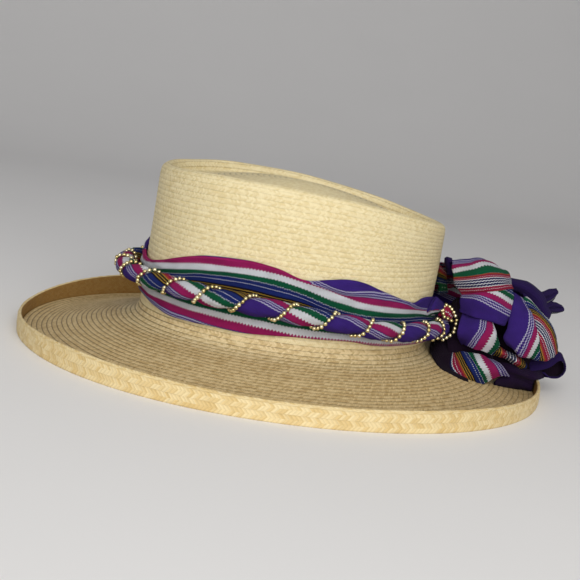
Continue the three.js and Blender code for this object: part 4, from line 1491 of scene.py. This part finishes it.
# The floor's half width, where it starts to bend up behind the hat, the bend's radius and its height
FLOOR_HALF = 3.0
FLOOR_BACK = 1.2
FLOOR_BEND = 1.1
FLOOR_TOP = 2.4
FLOOR_STEPS = 24


def build_light(name, place, power, size, colour, target):
    data = bpy.data.lights.new(name, "AREA")
    data.energy = power
    data.size = size
    data.color = colour
    lamp = bpy.data.objects.new(name, data)
    bpy.context.scene.collection.objects.link(lamp)
    lamp.location = place
    lamp.rotation_mode = "QUATERNION"
    lamp.rotation_quaternion = (Vector(target) - Vector(place)).to_track_quat("-Z", "Y")


def build_world():
    world = bpy.data.worlds.new("studio")
    world.use_nodes = True
    background = world.node_tree.nodes["Background"]
    background.inputs["Color"].default_value = STUDIO_COLOUR
    background.inputs["Strength"].default_value = STUDIO_STRENGTH
    bpy.context.scene.world = world


def floor_material(colour):
    material = bpy.data.materials.new("pale_floor")
    material.use_nodes = True
    tree = material.node_tree
    shader = tree.nodes["Principled BSDF"]
    shader.inputs["Roughness"].default_value = 0.8
    place = tree.nodes.new("ShaderNodeTexCoord")
    mottle = tree.nodes.new("ShaderNodeTexNoise")
    mottle.inputs["Scale"].default_value = 6.0
    tree.links.new(place.outputs["Object"], mottle.inputs["Vector"])
    mixed = blended(tree, mottle.outputs["Fac"], colour, darkened(colour, 0.97, 0.97, 0.97))
    wire(tree, shader.inputs["Base Color"], mixed)
    return material


def build_floor(colour):
    """A floor that bends up into a wall behind the hat."""
    line = [(-FLOOR_HALF, 0.0), (FLOOR_BACK, 0.0)]
    for step in range(1, FLOOR_STEPS + 1):
        bend = math.pi / 2 * step / FLOOR_STEPS
        line.append((FLOOR_BACK + FLOOR_BEND * math.sin(bend), FLOOR_BEND * (1 - math.cos(bend))))
    line.append((FLOOR_BACK + FLOOR_BEND, FLOOR_TOP))
    places = [(x, y, z) for y, z in line for x in (-FLOOR_HALF, FLOOR_HALF)]
    faces = [(2 * k, 2 * k + 1, 2 * k + 3, 2 * k + 2) for k in range(len(line) - 1)]
    mesh = bpy.data.meshes.new("floor")
    mesh.from_pydata(places, [], faces)
    mesh.polygons.foreach_set("use_smooth", [True] * len(mesh.polygons))
    mesh.materials.append(floor_material(colour))
    floor = bpy.data.objects.new("floor", mesh)
    bpy.context.scene.collection.objects.link(floor)


def build_camera(settings):
    data = bpy.data.cameras.new("camera")
    data.lens = settings.lens
    data.sensor_width = 36.0
    data.clip_start, data.clip_end = 0.05, 20.0
    camera = bpy.data.objects.new("camera", data)
    bpy.context.scene.collection.objects.link(camera)
    back = facing(settings.azimuth, settings.elevation)
    camera.location = Vector(in_frame(settings.aim)) + back * settings.distance
    camera.rotation_mode = "QUATERNION"
    camera.rotation_quaternion = (-back).to_track_quat("-Z", "Y") @ Quaternion((0, 0, 1), settings.roll)
    bpy.context.scene.camera = camera


# Settings


class HatStrawSettings(bpy.types.PropertyGroup):
    row_pitch: bpy.props.FloatProperty(
        name="Row pitch",
        description="Distance between the sewn rows of plait",
        default=0.0035,
        min=0.002,
        unit="LENGTH",
    )
    row_relief: bpy.props.FloatProperty(
        name="Row relief",
        description="Height of a row above the groove beside it",
        default=0.00045,
        unit="LENGTH",
    )
    strand: bpy.props.FloatProperty(
        name="Strand width",
        description="Width of a palm strand in the plait",
        default=0.0013,
        unit="LENGTH",
    )
    crown_colour: bpy.props.FloatVectorProperty(
        name="Crown",
        description="Palm leaf on the crown",
        subtype="COLOR",
        size=4,
        default=linear(232, 218, 176),
    )
    # Darker than the crown's palm, partly its own tone and partly painted shade
    brim_colour: bpy.props.FloatVectorProperty(
        name="Brim",
        description="Palm leaf on the brim",
        subtype="COLOR",
        size=4,
        default=linear(212, 188, 140),
    )
    rim_colour: bpy.props.FloatVectorProperty(
        name="Rim",
        description="Palm leaf on the rim",
        subtype="COLOR",
        size=4,
        default=linear(226, 206, 158),
    )


class HatTrimSettings(bpy.types.PropertyGroup):
    bead_diameter: bpy.props.FloatProperty(
        name="Bead",
        description="Diameter of a bead",
        default=0.0029,
        min=0.001,
        unit="LENGTH",
    )
    bead_spacing: bpy.props.FloatProperty(
        name="Bead spacing",
        description="Distance between beads on the string",
        default=0.003,
        unit="LENGTH",
    )
    cloth_shade: bpy.props.FloatProperty(
        name="Cloth shade",
        description="Brightness of the striped cloth",
        default=0.9,
        subtype="FACTOR",
    )


class HatStageSettings(bpy.types.PropertyGroup):
    azimuth: bpy.props.FloatProperty(
        name="Azimuth",
        description="Camera's turn round the hat",
        default=math.radians(-10.018),
        subtype="ANGLE",
    )
    elevation: bpy.props.FloatProperty(
        name="Elevation",
        description="Camera's height above the horizon",
        default=math.radians(10.303),
        subtype="ANGLE",
    )
    roll: bpy.props.FloatProperty(
        name="Roll",
        description="Camera's turn about its own view",
        default=math.radians(8.829),
        subtype="ANGLE",
    )
    lens: bpy.props.FloatProperty(
        name="Lens",
        description="Focal length",
        default=67.89,
        unit="CAMERA",
    )
    distance: bpy.props.FloatProperty(
        name="Distance",
        description="From the camera to the place it aims at",
        default=0.77557,
        unit="LENGTH",
    )
    aim: bpy.props.FloatVectorProperty(
        name="Aim",
        description="Place on the hat the camera aims at, in millimetres",
        default=(1.887, 0.0, 28.19),
    )
    floor_colour: bpy.props.FloatVectorProperty(
        name="Floor",
        description="Plain pale floor",
        subtype="COLOR",
        size=4,
        default=(0.84, 0.83, 0.82, 1.0),
    )


# Operators


class HAT_OT_crown(bpy.types.Operator):
    """Build the plaited crown with its sunken tip"""

    bl_idname = "hat.crown"
    bl_label = "Crown"

    def execute(self, context):
        settings = context.scene.hat_straw
        light = tuple(settings.crown_colour)
        dark = darkened(light, 0.86, 0.8, 0.66)
        # Darker painted shade in the lines between the sunken tip's rows
        material = straw_material("crown_straw", light, dark, settings.strand / MM, 0.34, grooved=23)
        build_crown(settings, material)
        return {"FINISHED"}


class HAT_OT_brim(bpy.types.Operator):
    """Build the plaited brim"""

    bl_idname = "hat.brim"
    bl_label = "Brim"

    def execute(self, context):
        settings = context.scene.hat_straw
        light = tuple(settings.brim_colour)
        dark = darkened(light, 0.68, 0.6, 0.46)
        pitch, strand = settings.row_pitch / MM, settings.strand / MM
        # Painted light on the rows next to the crown, and painted shade in the lines between rows, stronger
        # towards the wearer's front
        material = straw_material("brim_straw", light, dark, strand, 0.85, lit_rows=4, front_shade_pitch=pitch)
        build_brim(settings, material)
        return {"FINISHED"}


class HAT_OT_rim(bpy.types.Operator):
    """Build the turned-up plaited rim"""

    bl_idname = "hat.rim"
    bl_label = "Rim"

    def execute(self, context):
        light = tuple(context.scene.hat_straw.rim_colour)
        dark = darkened(light, 0.83, 0.73, 0.54)
        # Painted warm shade on the rows of the rim's inner face
        build_rim(straw_material("rim_straw", light, dark, RIM_STRAND, 0.1, inner_shade_rows=4))
        return {"FINISHED"}


class HAT_OT_sash(bpy.types.Operator):
    """Build the striped sash round the crown and the twisted roll on it"""

    bl_idname = "hat.sash"
    bl_label = "Sash and roll"

    def execute(self, context):
        material = cloth_material("sash_stripes", context.scene.hat_trim.cloth_shade)
        build_sash(material)
        build_roll(material)
        return {"FINISHED"}


class HAT_OT_beads(bpy.types.Operator):
    """Wind the string of beads round the roll"""

    bl_idname = "hat.beads"
    bl_label = "Beads"

    def execute(self, context):
        build_beads(context.scene.hat_trim, bead_material("gold_beads"))
        return {"FINISHED"}


class HAT_OT_rosette(bpy.types.Operator):
    """Lay the folded petals, the bunched cloth inside them and the loose ends of the rosette"""

    bl_idname = "hat.rosette"
    bl_label = "Rosette"

    def execute(self, context):
        # Copies of the cloth with painted shade, beside the bright sash cloth
        cloths = {tone: cloth_material(*shaded_copy) for tone, shaded_copy in TONES.items()}
        cloths["bright"] = bpy.data.materials["sash_stripes"]
        for name, petal in PETALS.items():
            cloth = cloths[petal.get("tone", "bright")]
            for far, side in ((False, "left"), (True, "right")):
                build_fold(f"rosette_{name}_{side}", petal, far, cloth, [f"petal_{name}_{side}"])
        for name, fold in SMALL_FOLDS.items():
            build_fold(name, fold, False, cloths[fold.get("tone", "bright")], fold["replaces"])
        for name, middle, size, tone, node, crumple, seed in LUMPS:
            build_lump(name, middle, size, cloths[tone], node, crumple, seed)
        return {"FINISHED"}


class HAT_OT_stage(bpy.types.Operator):
    """Set the floor, the soft lights and the camera"""

    bl_idname = "hat.stage"
    bl_label = "Stage"

    def execute(self, context):
        settings = context.scene.hat_stage
        build_floor(tuple(settings.floor_colour))
        for light in LIGHTS:
            build_light(*light, in_frame(settings.aim))
        build_world()
        context.scene.view_settings.view_transform = "Standard"
        build_camera(settings)
        return {"FINISHED"}


OPERATORS = (HAT_OT_crown, HAT_OT_brim, HAT_OT_rim, HAT_OT_sash, HAT_OT_beads, HAT_OT_rosette, HAT_OT_stage)


class HAT_PT_panel(bpy.types.Panel):
    """Palm leaf hat"""

    bl_idname = "HAT_PT_panel"
    bl_label = "Palm leaf hat"
    bl_space_type = "VIEW_3D"
    bl_region_type = "UI"
    bl_category = "Palm hat"

    def draw(self, context):
        for operator in OPERATORS:
            self.layout.operator(operator.bl_idname)
        for settings in (context.scene.hat_straw, context.scene.hat_trim, context.scene.hat_stage):
            box = self.layout.box()
            for name in settings.__annotations__:
                box.prop(settings, name)


SETTINGS = {"hat_straw": HatStrawSettings, "hat_trim": HatTrimSettings, "hat_stage": HatStageSettings}
CLASSES = (*SETTINGS.values(), *OPERATORS, HAT_PT_panel)


def register():
    for item in CLASSES:
        bpy.utils.register_class(item)
    for name, group in SETTINGS.items():
        setattr(bpy.types.Scene, name, bpy.props.PointerProperty(type=group))


def unregister():
    for name in SETTINGS:
        delattr(bpy.types.Scene, name)
    for item in reversed(CLASSES):
        bpy.utils.unregister_class(item)


def main():
    register()
    bpy.ops.hat.crown()
    bpy.ops.hat.brim()
    bpy.ops.hat.rim()
    bpy.ops.hat.sash()
    bpy.ops.hat.beads()
    bpy.ops.hat.rosette()
    bpy.ops.hat.stage()


if __name__ == "__main__":
    main()
